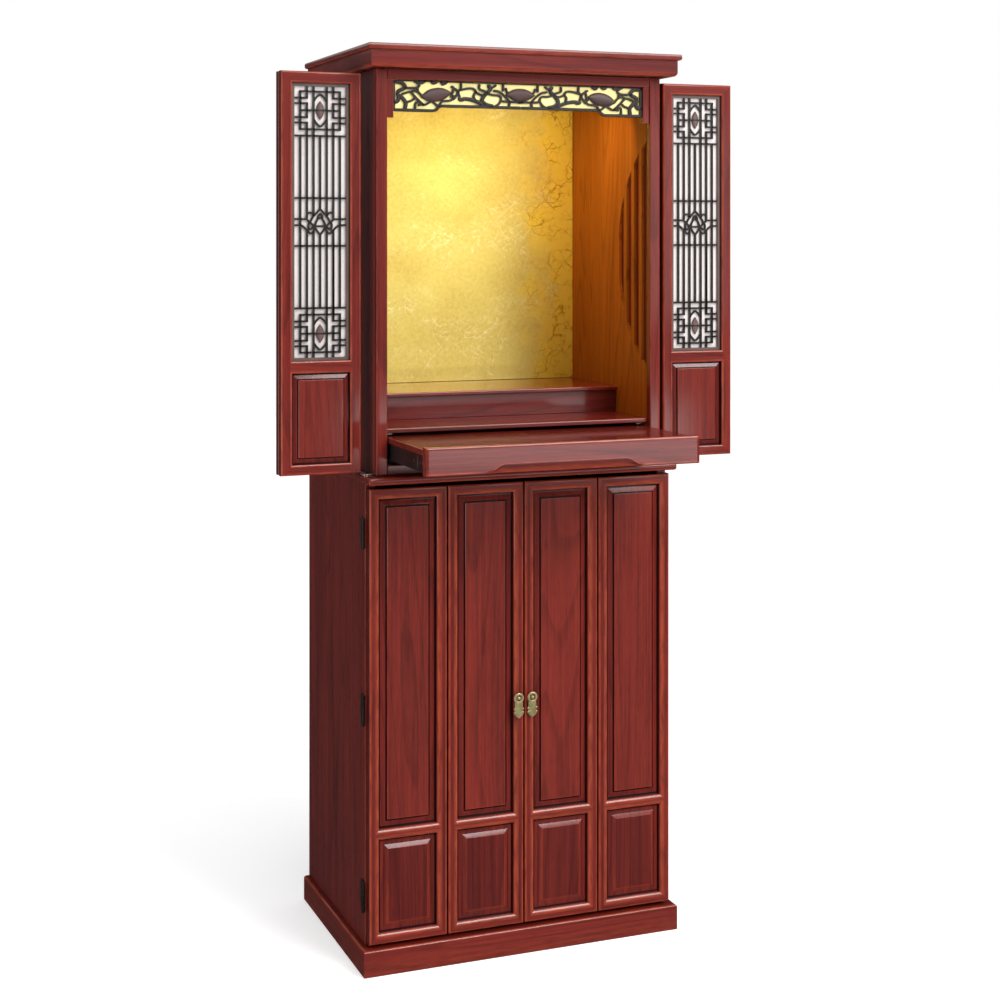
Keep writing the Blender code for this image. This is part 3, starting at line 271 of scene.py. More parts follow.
def new_finish(name):
    """An empty material, and two functions: one that adds a node, one that sets the shader's sockets."""
    finish = bpy.data.materials.new(name + "_finish")
    finish.use_nodes = True
    fill, add = node_tools(finish.node_tree)
    shader = finish.node_tree.nodes["Principled BSDF"]
    return finish, add, lambda **inputs: fill(shader, {k.replace("_", " "): v for k, v in inputs.items()})


def noise(add, place, stretch, detail=3.0, roughness=0.55, distortion=0.0):
    """Noise whose cells are stretched: the place is multiplied by three numbers before it is read."""
    mapped = add("Mapping", {"Vector": place, "Scale": stretch}).outputs[0]
    shape = {"Detail": detail, "Roughness": roughness, "Distortion": distortion}
    return add("TexNoise", {"Vector": mapped, "Scale": 1.0, **shape}).outputs["Fac"]


def ramp(add, value, stops):
    """A colour ramp from pairs of a position and a colour or a grey level."""
    node = add("ValToRGB", {"Fac": value})
    bar = node.color_ramp.elements
    while len(bar) < len(stops):
        bar.new(0.5)
    for element, (position, colour) in zip(bar, stops):
        element.position = position
        element.color = (colour, colour, colour, 1) if isinstance(colour, float) else (*colour, 1)
    return node.outputs[0]


def mix(add, amount, first, second, blend="MIX"):
    """Two colours mixed, multiplied or added."""
    node = add("Mix", data_type="RGBA", blend_type=blend)
    for socket, value in ((0, amount), (6, first), (7, second)):
        if isinstance(value, bpy.types.NodeSocket):
            node.id_data.links.new(value, node.inputs[socket])
        else:
            node.inputs[socket].default_value = value if isinstance(value, float) else (*value, 1)
    return node.outputs[2]


def times(add, first, second):
    """Two colours multiplied."""
    return mix(add, 1.0, first, second, "MULTIPLY")


def maths(add, operation, *values, clamp=False):
    """A Math node on one, two or three values."""
    return add("Math", dict(enumerate(values)), operation=operation, use_clamp=clamp).outputs[0]


def stretched(add, value, low, high, first=0.3, last=0.7):
    """A value that runs from first to last, made to run from low to high."""
    limits = {"From Min": first, "From Max": last, "To Min": low, "To Max": high}
    return add("MapRange", {"Value": value, **limits}).outputs[0]


def bumps(add, height, strength, distance):
    """The direction of a surface with this relief."""
    return add("Bump", {"Height": height, "Strength": strength, "Distance": distance}).outputs[0]


# %% Wood under lacquer
RINGS, RUB_AND_SHEEN, PAINTED_SHADE_AMOUNT = 24.0, 0.60, -0.92


def wood(name, slot, dark, mid, light, edge, coat=0.85):
    """Slow bands pick between three browns, fibres streak them, and pores darken them. Wear above nothing
    goes to a fourth brown, partly real wear and partly painted highlight, and values below nothing go to
    painted shade, almost black."""
    finish, add, surface = new_finish(name)
    place = add("Attribute", attribute_name="grain").outputs["Vector"]
    worn = add("Attribute", attribute_name="worn").outputs["Fac"]
    bands = noise(add, place, (20, 20, 1.6), distortion=0.6)
    streaks = noise(add, place, (130, 130, 2.4))
    field = noise(add, place, (8.5, 8.5, 0.62), detail=1.2, roughness=0.4, distortion=0.3)
    ring = maths(add, "FRACT", maths(add, "MULTIPLY", field, RINGS))
    late = ramp(add, ring, [(0.0, 0.50), (0.06, 1.0), (0.70, 0.94), (0.93, 0.50), (1.0, 0.50)])
    fibres = noise(add, place, (420, 420, 6), detail=2.0, roughness=0.7)
    pores = noise(add, place, (1300, 1300, 34), detail=1.0, roughness=0.4)
    body = mix(add, 0.30, mix(add, 0.50, bands, streaks), fibres)
    colour = ramp(add, body, [(0.34, dark), (0.50, mid), (0.68, light)])
    colour = mix(add, 0.50, colour, times(add, colour, late))
    pits = ramp(add, pores, [(0.30, 0.0), (0.40, 1.0)])
    colour = mix(add, 0.30, colour, times(add, colour, pits))
    # Above nothing: real wear rubbed through to the warmer edge brown, which also serves as painted highlight
    # on rounded edges.
    patchy = ramp(add, noise(add, place, (160, 160, 30), detail=4.0), [(0.30, 0.25), (0.62, 1.0)])
    rub_and_sheen = maths(add, "MULTIPLY", maths(add, "MULTIPLY", worn, patchy), RUB_AND_SHEEN, clamp=True)
    colour = mix(add, rub_and_sheen, colour, edge)
    # Below nothing: painted shade, darkening grooves and gaps almost to black.
    painted_shade = maths(add, "MULTIPLY", worn, PAINTED_SHADE_AMOUNT, clamp=True)
    colour = mix(add, painted_shade, colour, tuple(0.12 * v for v in dark))
    smudge = noise(add, place, (9, 9, 6), detail=5.0, roughness=0.65)
    relief = bumps(add, mix(add, 0.45, pits, fibres), 0.28, 0.00035)
    surface(Base_Color=colour, Roughness=stretched(add, smudge, 0.41, 0.55), Normal=relief,
            Specular_IOR_Level=0.12, Coat_Weight=coat, Coat_Roughness=0.11, Coat_IOR=1.5)
    return finish


# The last colour of each list is the rubbed edge brown: partly real wear, partly painted highlight.
CHERRY = [(0.080, 0.0076, 0.0062), (0.132, 0.0110, 0.0074), (0.190, 0.0180, 0.0096), (0.42, 0.074, 0.028)]
# Painted light: the shrine's side walls are the same cherry, given these lighter orange browns for the warm
# lamp and the gold foil's glow on them.
LAMP_LIT_BROWNS = [(0.215, 0.046, 0.0024), (0.285, 0.064, 0.0032), (0.355, 0.086, 0.0046), (0.42, 0.12, 0.010)]
cherry = wood("cherry_lacquer", "cherry_lacquer", *CHERRY)
lamp_lit_wood = wood("amber_wood", "amber_wood", *LAMP_LIT_BROWNS, coat=0.10)

# %% [markdown]
# The back of the shrine is covered with gold foil that was pressed on by hand, so it is crinkled: long thin
# wrinkles catch the light, shown as painted highlight lines, and on its right-hand side the size under it
# has come through as brown veins. Both are thin lines drawn by noise.

# %% Gold foil, lattice, pane and metals
def gold_foil():
    """A wrinkle is a thin band round one level of a bent noise: its distance from that level, on a steep
    ramp. Brown veins are the borders of bent Voronoi cells, held to the damp right-hand side."""
    finish, add, surface = new_finish("gold_foil")
    spot = add("TexCoord").outputs["Object"]

    def creased(stretch, turn, bend, level, thin):
        turned_spot = add("Mapping", {"Vector": spot, "Rotation": (0, turn, 0)}).outputs[0]
        wave = noise(add, turned_spot, stretch, detail=2.0, roughness=0.5, distortion=bend)
        away = maths(add, "ABSOLUTE", maths(add, "SUBTRACT", wave, level))
        return ramp(add, away, [(0.0, 1.0), (thin, 0.0)])

    def cracks(scale, darkest, width):
        cells = add("TexVoronoi", {"Vector": place, "Scale": scale}, feature="DISTANCE_TO_EDGE")
        return ramp(add, cells.outputs["Distance"], [(0.0, darkest), (width, 1.0)])

    glinting_creases = creased((34, 34, 9), 0.9, 1.6, 0.50, 0.020)
    for crease in (((9, 9, 30), 0.5, 1.2, 0.54, 0.016), ((60, 60, 24), -0.5, 2.0, 0.47, 0.030)):
        glinting_creases = mix(add, 1.0, glinting_creases, creased(*crease), "ADD")
    glinting_creases = times(add, glinting_creases, ramp(add, noise(add, spot, (9, 9, 9)), [(0.46, 0.0), (0.64, 1.0)]))
    mottle = noise(add, spot, (150, 150, 150), detail=4.0, roughness=0.7)
    cloud = noise(add, spot, (8, 8, 8), detail=4.0)
    golds = [(0.34, (0.62, 0.44, 0.095)), (0.50, (0.72, 0.56, 0.135)), (0.64, (0.78, 0.64, 0.17))]
    tone = ramp(add, mix(add, 0.45, cloud, mottle), golds)
    bent = add("TexNoise", {"Vector": spot, "Scale": 30.0, "Detail": 4.0})
    push = add("VectorMath", {0: bent.outputs["Color"], "Scale": 0.035}, operation="SCALE")
    place = add("VectorMath", {0: spot, 1: push.outputs[0]}).outputs[0]
    veins = times(add, cracks(26.0, 0.0, 0.035), cracks(75.0, 0.60, 0.08))
    across = add("SeparateXYZ", {0: spot}).outputs["X"]
    ragged = maths(add, "MULTIPLY_ADD", noise(add, spot, (14, 14, 14)), 0.22, across)
    damp = ramp(add, ragged, [(0.245, 0.0), (0.315, 1.0)])
    gaps = ramp(add, noise(add, spot, (30, 30, 30), detail=2.0), [(0.42, 0.0), (0.56, 1.0)])
    veins = mix(add, times(add, damp, gaps), (1.0, 1.0, 1.0), veins)
    glinting_creases = times(add, glinting_creases, mix(add, damp, (0.55, 0.55, 0.55), (0.0, 0.0, 0.0)))
    colour = mix(add, times(add, damp, (0.75, 0.75, 0.75)), tone, (0.96, 0.68, 0.056))
    # Painted highlight: the creases are mixed towards a pale gold where they catch the light.
    colour = mix(add, glinting_creases, colour, (0.93, 0.84, 0.42))
    colour = times(add, colour, ramp(add, veins, [(0.0, (0.50, 0.34, 0.18)), (1.0, (1.0, 1.0, 1.0))]))
    relief = bumps(add, mix(add, 0.6, glinting_creases, mix(add, 0.5, mottle, veins)), 0.40, 0.0006)
    shine = stretched(add, cloud, 0.26, 0.42, 0.0, 1.0)
    surface(Base_Color=colour, Metallic=0.65, Roughness=shine, Normal=relief)
    return finish


def metal(name, tones, rough, relief, pure=1.0):
    """Cloudy tarnish picks between two or three tones, and fine scratches along z carry the shine."""
    finish, add, surface = new_finish(name)
    spot = add("TexCoord").outputs["Object"]
    cloud = noise(add, spot, (60, 60, 60), detail=5.0, roughness=0.62)
    fine = noise(add, spot, (900, 900, 30), detail=2.0)
    stops = np.linspace(0.32, 0.68, len(tones)).tolist()
    colour = ramp(add, mix(add, 0.25, cloud, fine), list(zip(stops, tones)))
    shine = stretched(add, mix(add, 0.5, cloud, fine), *rough)
    surface(Base_Color=colour, Metallic=pure, Roughness=shine, Normal=bumps(add, fine, relief, 0.0001))
    return finish


def painted(name, tones, rough, relief, scales, light=0.0):
    """A plain surface with a slow change between two tones and a fine tooth."""
    finish, add, surface = new_finish(name)
    spot = add("TexCoord").outputs["Object"]
    slow = noise(add, spot, (scales[0],) * 3, detail=4.0)
    fine = noise(add, spot, (scales[1],) * 3, detail=2.0)
    colour = ramp(add, mix(add, 0.3, slow, fine), list(zip((0.35, 0.65), tones)))
    tooth = bumps(add, fine, relief, 0.0002)
    surface(Base_Color=colour, Roughness=stretched(add, slow, *rough), Normal=tooth,
            Emission_Color=(1, 1, 1, 1), Emission_Strength=light)
    return finish


def dark_wood(name, *tones):
    return painted(name, tones, (0.45, 0.60), 0.3, (20, 700))


foil = gold_foil()
BRASS_TONES = [(0.20, 0.17, 0.07), (0.40, 0.35, 0.16), (0.62, 0.50, 0.32)]
brass = metal("antique_brass", BRASS_TONES, (0.26, 0.42), 0.25, pure=0.6)
steel = metal("bright_steel", [(0.42, 0.41, 0.39), (0.62, 0.61, 0.58)], (0.22, 0.36), 0.15)
BLACKS = [(0.006, 0.006, 0.006), (0.016, 0.015, 0.015)]
black = painted("black_steel", BLACKS, (0.30, 0.42), 0.1, (30, 900))
# Lit and shaded copies of one wood: the near black is painted shade on bars seen against the bright pane and
# foil, and the lighter browns are painted highlight on faces that catch the light.
silhouette_shaded_wood = dark_wood("dark_lattice", (0.006, 0.003, 0.0025), (0.014, 0.006, 0.005))
lit_carved_wood = dark_wood("lit_carved_brown", (0.040, 0.014, 0.011), (0.070, 0.026, 0.020))
lit_border_wood = dark_wood("lit_border_brown", (0.085, 0.045, 0.038), (0.130, 0.075, 0.064))
GILT_TONES = [(0.86, 0.70, 0.24), (0.94, 0.82, 0.36)]
gilt_paper = painted("gilt_paper", GILT_TONES, (0.40, 0.60), 0.3, (12, 240))
PANE_TONES = [(0.57, 0.52, 0.50), (0.67, 0.62, 0.60)]
pane_white = painted("frosted_pane", PANE_TONES, (0.42, 0.60), 0.15, (9, 260))

# %% [markdown]
# ## The carcass
#
# Sides, shelves, floors and backs are boards about 6 to 18 mm thick. In a workshop they would be sawn,
# planed and eased along their edges, and here each is a rounded board in the place of its block in the
# frame. Uprights have their fibres upright, and shelves have them running across.

# %% Uprights, shelves and rails
for side in ("left", "right"):
    board_for(f"lower_side_{side}", 0.0016, "Z")
    board_for(f"upper_side_{side}", 0.0012, "Z")
    board_for(f"post_{side}", 0.0022, "Z")
    board_for(f"transom_strip_{side}", 0.0010, "Z")
board_for("waist_ledge", 0.0042, "X")
board_for("shrine_shelf", 0.0022, "X")
board_for("lintel", 0.0016, "X")
for node in ("lower_floor", "upper_floor"):
    board_for(node, 0.0012, "X")
for node in ("lower_back", "upper_back"):
    board_for(node, 0.0008, "Z")

# %% The step at the back of the shrine: a tread with its riser under it
low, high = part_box("upper_step")
TREAD, RISER, RISER_SETBACK = 0.008, 0.007, 0.007
riser_front = low.y + RISER_SETBACK
tread = rounded_box((low.x, low.y, high.z - TREAD), high, 0.0024, "X")
riser = rounded_box((low.x, riser_front, low.z), (high.x, riser_front + RISER, high.z - TREAD), 0.0006, "X")
shell("shrine_step", [tread, riser], "cabinet", cherry, ["upper_step"])

# %% The gilded back panel
low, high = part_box("gold_panel")
shell("gilded_back", [rounded_box(low, high, 0.0006, "Z")], "cabinet", foil, ["gold_panel"])

# %% [markdown]
# The moon window is a circle of air seen through upright slots: its centre is in front of the cabinet, so
# the wall shows only its far arc. A Boolean cut would leave long thin faces. Here the wall is a flat grid
# whose rows follow the arc, the cells inside the slots are left out, and Solidify and Bevel give it
# thickness and a soft edge.

# %% The side walls with their moon windows
SLOT_WIDTH, SLOT_PITCH, SLOTS = 0.0205, 0.0324, 4
FIRST_SLOT, MOON_RADIUS, MOON_AHEAD = 0.034, 0.2365, -0.0894


def moon_wall(side):
    """At each depth the arc is the circle's centre height plus and minus the root of its radius squared
    less the squared distance from its centre."""
    low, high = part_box(f"inner_wall_{side}")
    centre = low.z + 0.5401 * (high.z - low.z)
    starts = FRONT + FIRST_SLOT + SLOT_PITCH * np.arange(SLOTS) - SLOT_WIDTH / 2
    inside = (starts[:, None] + np.linspace(0, SLOT_WIDTH, 9)).ravel()
    y = np.concatenate([[low.y], inside, [high.y]])
    reach = np.sqrt(np.clip(MOON_RADIUS**2 - (y - FRONT - MOON_AHEAD) ** 2, 0.0006, None))
    rows = np.stack([0 * y + low.z, centre - reach, centre + reach, 0 * y + high.z])
    inner = low.x if side == "right" else high.x
    points = np.stack([0 * rows + inner, 0 * rows + y, rows], -1)
    faces = np.array(grid_faces(4, len(y))).reshape(3, len(y) - 1, 4)
    column = np.arange(len(y) - 1)
    in_slot = (column > 0) & ((column - 1) % 9 < 8) & (column < len(y) - 2)
    kept = np.concatenate([faces[0], faces[1][~in_slot], faces[2]]).tolist()
    # The walls take the lamp-lit copy of the cherry: painted warm light.
    wall = shell(f"moon_wall_{side}", [patch(points, kept, "Z")], "cabinet", lamp_lit_wood, [f"inner_wall_{side}"])
    thick = wall.modifiers.new("thickness", "SOLIDIFY")
    thick.thickness = (high.x - low.x) * 0.999
    faces_right = wall.data.polygons[0].normal.x > 0
    thick.offset = -1 if faces_right == (side == "left") else 1
    ease = wall.modifiers.new("eased", "BEVEL")
    ease.width, ease.segments, ease.limit_method, ease.angle_limit = 0.0007, 2, "ANGLE", math.radians(50)
    wall.modifiers.move(0, 2)
    return centre


print("moon centre at z =", [round(moon_wall(side), 4) for side in ("left", "right")])

# %% [markdown]
# ## Plinth and cornice
#
# Both are mouldings that run round the front and the two sides, are mitred at the front corners and end
# flush with the back. So their profile is carried round a rectangle whose back line stays where it is.

# %% Mouldings that lie flat
def lying_loops(low, high, profile):
    """Loops of (inset, height) round the box's plan: front, right, back, left. The back line takes no
    inset."""
    inset, height = np.asarray(profile, float).T
    x = np.stack([low.x + inset, high.x - inset, high.x - inset, low.x + inset], -1)
    y = np.stack([low.y + inset, low.y + inset, 0 * inset + high.y, 0 * inset + high.y], -1)
    return np.stack([x, y, np.repeat(height[:, None], 4, 1)], -1)


def moulding(name, node, profile, worn=0.0):
    """A closed moulding: four strips and a lid at each end of the profile."""
    low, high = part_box(node)
    loops = lying_loops(low, high, profile)
    made = strips(loops, "XYXY", worn)
    made += [patch(loops[0], [[0, 1, 2, 3]], "X"), patch(loops[-1], [[3, 2, 1, 0]], "X")]
    return shell(name, made, "cabinet", cherry, [node])


low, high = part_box("plinth")
bevel = eased(0.0042, 0.0040, 3) * (1, -1) + (0, high.z)
plinth_profile = [(0.0012, low.z), (0, low.z + 0.0012), *bevel[::-1].tolist()]
# The plinth's edge wear: partly real wear, partly painted highlight.
moulding("plinth_moulding", "plinth", plinth_profile, [0.6, 0.3, 0, 0.9, 1, 0.4])

low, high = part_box("cornice")
FILLET, FASCIA_INSET, FASCIA_ROUND = 0.0105, 0.006, 0.0075
top = eased(0.0022, 0.0022, 3) * (1, -1) + (0, high.z)
foot = eased(0.0035, 0.0035, 4)[::-1] * (1, 1) + (0, high.z - FILLET)
under = eased(FASCIA_ROUND, FASCIA_ROUND, 5)[::-1] + (FASCIA_INSET, low.z)
cornice_profile = [*top.tolist(), *foot.tolist(), (FASCIA_INSET, high.z - FILLET), *under.tolist()]
# The cornice's edge wear: partly real wear, partly painted highlight, strongest on its lower rounding.
cornice_wear_and_sheen = [0.3, 0.6, 0.5, 0.1, 0.2, 0.5, 0.9, 0.9, 0.5, 0.0, 0.0, 0.2, 0.6, 0.9, 0.7, 0.2]
moulding("cornice_moulding", "cornice", cornice_profile, cornice_wear_and_sheen)

# %% [markdown]
# ## The lower leaves
#
# Four leaves close the cupboard, hinged in pairs. Each is a frame with two fielded panels: the panel's
# middle stands up, its border slopes down into the frame's groove, and the corners of that slope are
# mitred. The real frame is rounded on both sides, which gives the long highlights of the photograph. One
# profile carries all of it, from the frame's face down to the panel's field.

# %% A framed leaf
LEAF_STILE, MID_RAIL = 0.0185, (0.17875, 0.19725)
FRAME_ROUND, EDGE_ROUND = (0.0088, 0.0062), 0.0042
# Wear per profile point: above nothing partly real wear and partly painted highlight; below nothing painted
# shade at the foot of the rounding and on the leaves' sides, between the leaves.
ROUND_WEAR_SHEEN_SHADE = [0.3, 0.4, 0.6, 0.8, 1.0, 1.0, 0.8, 0.5, 0.1, -0.3]
EDGE_WEAR_SHEEN_SHADE = [0.2, 0.5, 0.8, 1.0, 0.9, 0.5, 0, -0.5, -0.5, 0, 0.4, 0.5, 0.5, 0.4, 0.2, 0]
# The third number of each field point is its wear: -1 is painted shade in the groove round the panel, and the
# small positive values on the field's edge are partly wear, partly painted highlight.
TALL_FIELD = [(0, 9.8, -1), (3.0, 9.8, -1), (4.0, 9.5, 0), (12.0, 7.3, 0), (12.4, 8.6, -1), (14.3, 8.6, -1),
              (14.7, 5.6, 0.1), (15.4, 4.9, 0.5), (16.8, 4.7, 0.1)]
SMALL_FIELD = [(0, 9.8, -1), (2.6, 9.8, -1), (2.9, 8.9, -0.1), (9.2, 7.9, 0), (9.5, 8.4, -1), (10.0, 7.9, 0),
               (17.0, 4.6, 0.3), (17.8, 4.4, -0.3)]
SUNK = np.array([(0, 0), (0.0006, 0.0002), (0.0009, 0.0008), (0.0010, 0.0050)])
SUNK_WEAR_AND_SHEEN = [0.5, 0.9, 0.5, 0]


def rounded_in(rounding):
    """An opening's rounded edge, from its flat front, (0, 0), to its side wall, (wide, deep)."""
    return eased(*rounding) * (-1, 1) + (rounding[0], 0)


def fielded(rounding, field):
    """The frame's rounded edge and then the panel's profile, given in millimetres from where the rounding
    ends, and the wear at each point: above nothing partly real wear and partly painted highlight, below
    nothing painted shade in the grooves."""
    inset_depth = np.array(field)[:, :2] / 1000 + (rounding[0], 0)
    return np.concatenate([rounded_in(rounding), inset_depth]), ROUND_WEAR_SHEEN_SHADE + [point[2] for point in field]


def leaf_face(rect, openings, face):
    """The frame's face on one side: a rectangle with one opening above another. Each stile is one
    six-cornered face, so that all corners meet. Fibres run along each member."""
    corners = [((x0, z0), (x1, z0), (x1, z1), (x0, z1)) for x0, z0, x1, z1 in (rect, *openings)]
    points = np.array([(x, face, z) for four in corners for x, z in four])
    stiles, rails = [[0, 4, 7, 8, 11, 3], [1, 2, 10, 9, 6, 5]], [[0, 1, 5, 4], [7, 6, 9, 8], [11, 10, 2, 3]]
    return [patch(points, [f], "Z") for f in stiles] + [patch(points, [f], "X") for f in rails]


def leaf_envelope(rect, front, back):
    """The leaf's rim: from its face over a rounded edge, along its side and over a second edge to its
    back."""
    edge = eased(EDGE_ROUND, EDGE_ROUND, 7)
    profile = np.concatenate([edge, (edge * (1, -1) + (0, abs(back - front)))[::-1]])
    loops = rectangles(rect, profile, front, 1 if back > front else -1)
    return strips(loops, "XZXZ", EDGE_WEAR_SHEEN_SHADE)


def inset(rect, by):
    return rect[0] + by, rect[1] + by, rect[2] - by, rect[3] - by


def sunk_panel(opening, profile, face, way, worn, of_frame=10):
    """A profile carried round an opening and closed by its field. Its first points belong to the frame's
    members, and the rest to the panel, which is one board."""
    loops, panel = rectangles(opening, profile, face, way), board_numbers.uniform(-4, 4, 3)
    made = strips(loops[:of_frame], "XZXZ", worn[:of_frame])
    made += strips(loops[of_frame - 1 :], "ZZZZ", worn[of_frame - 1 :], panel)
    return made + [flat(inset(opening, profile[-1][0]), face + way * profile[-1][1], "Z", panel, worn[-1])]


def lower_leaf(hand, side):
    """A leaf with fielded panels in front and plain sunk panels behind."""
    node = f"lower_{hand}_leaf_{side}"
    low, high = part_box(node)
    rect, front, back = (low.x, low.z, high.x, high.z), low.y, high.y
    x0, z0, x1, z1 = inset(rect, LEAF_STILE)
    behind = [(x0, z0, x1, low.z + MID_RAIL[0]), (x0, low.z + MID_RAIL[1], x1, z1)]
    openings = [inset(opening, -FRAME_ROUND[0]) for opening in behind]
    made = leaf_envelope(rect, front, back) + leaf_face(inset(rect, EDGE_ROUND), openings, front)
    for opening, field in zip(openings, (SMALL_FIELD, TALL_FIELD)):
        profile, worn = fielded(FRAME_ROUND, field)
        made += sunk_panel(opening, profile, front, 1, worn)
    made += leaf_face(inset(rect, EDGE_ROUND), behind, back)
    for opening in behind:
        made += sunk_panel(opening, SUNK, back, -1, SUNK_WEAR_AND_SHEEN, len(SUNK))
    return shell(f"fielded_leaf_{hand}_{side}", made, f"lower_{hand}_{side}", cherry, [node], sharp=18)


for side in ("left", "right"):
    for hand in ("outer", "inner"):
        leaf = lower_leaf(hand, side)
print("leaf faces:", len(leaf.data.polygons))

# %% [markdown]
# ## The upper leaves
#
# Each upper leaf has a fielded panel below and a window above it, filled with a lattice in front of a
# frosted pane. At rest the pair is folded flat beside the post: the inner leaf shows its good face to the
# front, and the outer leaf behind it faces the wall. The window's frame goes right through, so its inner
# edge is carried from one face to the other.

# %% A leaf with a window
UPPER_STILE, PANEL_HEIGHTS, WINDOW_HEIGHTS = 0.020, (0.0180, 0.1745), (0.1955, 0.6729)
UPPER_ROUND, BACK_EASE = (0.0036, 0.0022), 0.0008
# The third number of each point is its wear: -1 is painted shade in the groove round the panel.
UPPER_FIELD = [(0, 6.8, -1), (2.6, 6.8, -1), (3.4, 6.6, -0.2), (9.4, 5.0, 0), (9.7, 5.8, -1), (11.2, 5.8, -1),
               (11.6, 3.4, 0.1), (12.4, 2.7, 0.5), (13.6, 2.5, 0.1)]
# The window's inner wall is darkened as painted shade.
RIM_WEAR_SHEEN_SHADE = ROUND_WEAR_SHEEN_SHADE[:8] + [-0.2, -0.6, -0.6, 0.4]


def upper_leaf(hand, side):
    """Front and back faces, a fielded panel, and a window whose edge is one profile from the front to the
    back."""
    node = f"upper_{hand}_leaf_{side}"
    low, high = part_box(node)
    front, back, way = (low.y, high.y, 1) if hand == "inner" else (high.y, low.y, -1)
    rect, thick = (low.x, low.z, high.x, high.z), high.y - low.y
    x0, x1 = low.x + UPPER_STILE, high.x - UPPER_STILE
    panel, window = ((x0, low.z + z0, x1, low.z + z1) for z0, z1 in (PANEL_HEIGHTS, WINDOW_HEIGHTS))
    wide = [inset(opening, -UPPER_ROUND[0]) for opening in (panel, window)]
    made = leaf_envelope(rect, front, back) + leaf_face(inset(rect, EDGE_ROUND), wide, front)
    profile, worn = fielded(UPPER_ROUND, UPPER_FIELD)
    made += sunk_panel(wide[0], profile, front, way, worn)
    wall = [(UPPER_ROUND[0], thick - BACK_EASE), (UPPER_ROUND[0] - BACK_EASE, thick)]
    through = np.concatenate([rounded_in(UPPER_ROUND), wall])
    made += strips(rectangles(wide[1], through, front, way), "XZXZ", RIM_WEAR_SHEEN_SHADE)
    made += leaf_face(inset(rect, EDGE_ROUND), (panel, inset(window, -BACK_EASE)), back)
    made += sunk_panel(panel, SUNK, back, -way, SUNK_WEAR_AND_SHEEN, len(SUNK))
    shell(f"windowed_leaf_{hand}_{side}", made, f"upper_{hand}_{side}", cherry, [node], sharp=18)
    return Vector(((x0 + x1) / 2, 0, (window[1] + window[3]) / 2)), (x1 - x0) / 2, (window[3] - window[1]) / 2


windows = {(hand, side): upper_leaf(hand, side) for hand in ("inner", "outer") for side in ("left", "right")}
print("window:", [round(1000 * v, 1) for v in windows["inner", "left"][1:]], "mm half width and half height")

# %% [markdown]
# The lattice is made of thin strips halved into each other. Bars that are all alike are one array of boxes.
# The lotus in the middle and the small pointed shapes in the blocks are strokes: a cross-section carried
# along a smooth path that passes through a few points, the way a fretsaw would follow a pencilled line.

# %% Straight bars and curved strokes
def slats(bars, y0, y1):
    """Boxes from rows of (x0, z0, x1, z1), all between two depths: the eight corners of each by
    broadcasting."""
    bars = np.asarray(bars, float)
    x, z = bars[:, [0, 2, 2, 0] * 2], bars[:, [1, 1, 3, 3] * 2]
    y = np.broadcast_to([y0] * 4 + [y1] * 4, x.shape)
    box = np.array([[0, 1, 2, 3], [7, 6, 5, 4], [0, 4, 5, 1], [1, 5, 6, 2], [2, 6, 7, 3], [3, 7, 4, 0]])
    faces = (box + 8 * np.arange(len(bars))[:, None, None]).reshape(-1, 4).tolist()
    return patch(np.stack([x, y, z], -1), faces)


def extruded(section, y0, y1):
    """A closed solid from an outline in x and z, carried from one depth to another."""
    count = len(section)
    points = [(x, y, z) for y in (y0, y1) for x, z in section]
    return patch(points, grid_faces(2, count, closed=True) + lids(2, count), "Y")


def smooth_path(points, steps=8):
    """Catmull-Rom: between two of the points the path is a cubic whose slope at each is half the way
    between the points before and after it."""
    p = np.asarray(points, float)
    p = np.concatenate([[2 * p[0] - p[1]], p, [2 * p[-1] - p[-2]]])
    t = np.linspace(0, 1, steps, endpoint=False)[None, :, None]
    a, b, c, d = (p[k : len(p) - 3 + k, None] for k in range(4))
    path = 0.5 * (2 * b + (c - a) * t + (2 * a - 5 * b + 4 * c - d) * t**2 + (3 * b - a - 3 * c + d) * t**3)
    return np.concatenate([path.reshape(-1, 2), p[-2:-1]])


FLAT_SECTION = [(-1, 0.14), (-0.72, 0), (0.72, 0), (1, 0.14), (1, 0.9), (0.8, 1), (-0.8, 1), (-1, 0.9)]
DOMED_SECTION = [(-1, 0.62), (-0.86, 0.34), (-0.5, 0.10), (0, 0), (0.5, 0.10), (0.86, 0.34), (1, 0.62),
                 (0.84, 1), (-0.84, 1)]


def swept(path, half, section, y0, y1):
    """A closed solid along an upright path: the section's first number times the half width goes across the
    path, and its second goes from the front depth to the back depth."""
    section, ahead = np.array(section), np.gradient(path, axis=0)
    ahead /= np.linalg.norm(ahead, axis=1, keepdims=True)
    across = ahead[:, ::-1] * (1, -1)
    place = path[:, None] + across[:, None] * (half[:, None] * section[:, 0])[..., None]
    depth = np.broadcast_to(y0 + (y1 - y0) * section[:, 1], place.shape[:2])
    faces = grid_faces(*depth.shape, closed=True) + lids(*depth.shape)
    return patch(np.stack([place[..., 0], depth, place[..., 1]], -1), faces)


def stroke(points, width, y0, y1):
    """A stroke of even width with round ends: near an end the half width follows a circle."""
    path = smooth_path(points)
    walked = np.concatenate([[0], np.cumsum(np.linalg.norm(np.diff(path, axis=0), axis=1))])
    last, end = walked[-1], np.array([0, 0.06, 0.25, 0.6]) * width / 2
    between = np.linspace(width / 2, last - width / 2, max(4, len(path) // 2))
    stops = np.concatenate([end, between, last - end[::-1]])
    near = np.clip(np.minimum(stops, last - stops) / (width / 2), 0, 1)
    half = width / 2 * np.sqrt(np.clip(near * (2 - near), 0.02, 1))
    place = np.stack([np.interp(stops, walked, path[:, k]) for k in range(2)], -1)
    return swept(place, half, FLAT_SECTION, y0, y1)


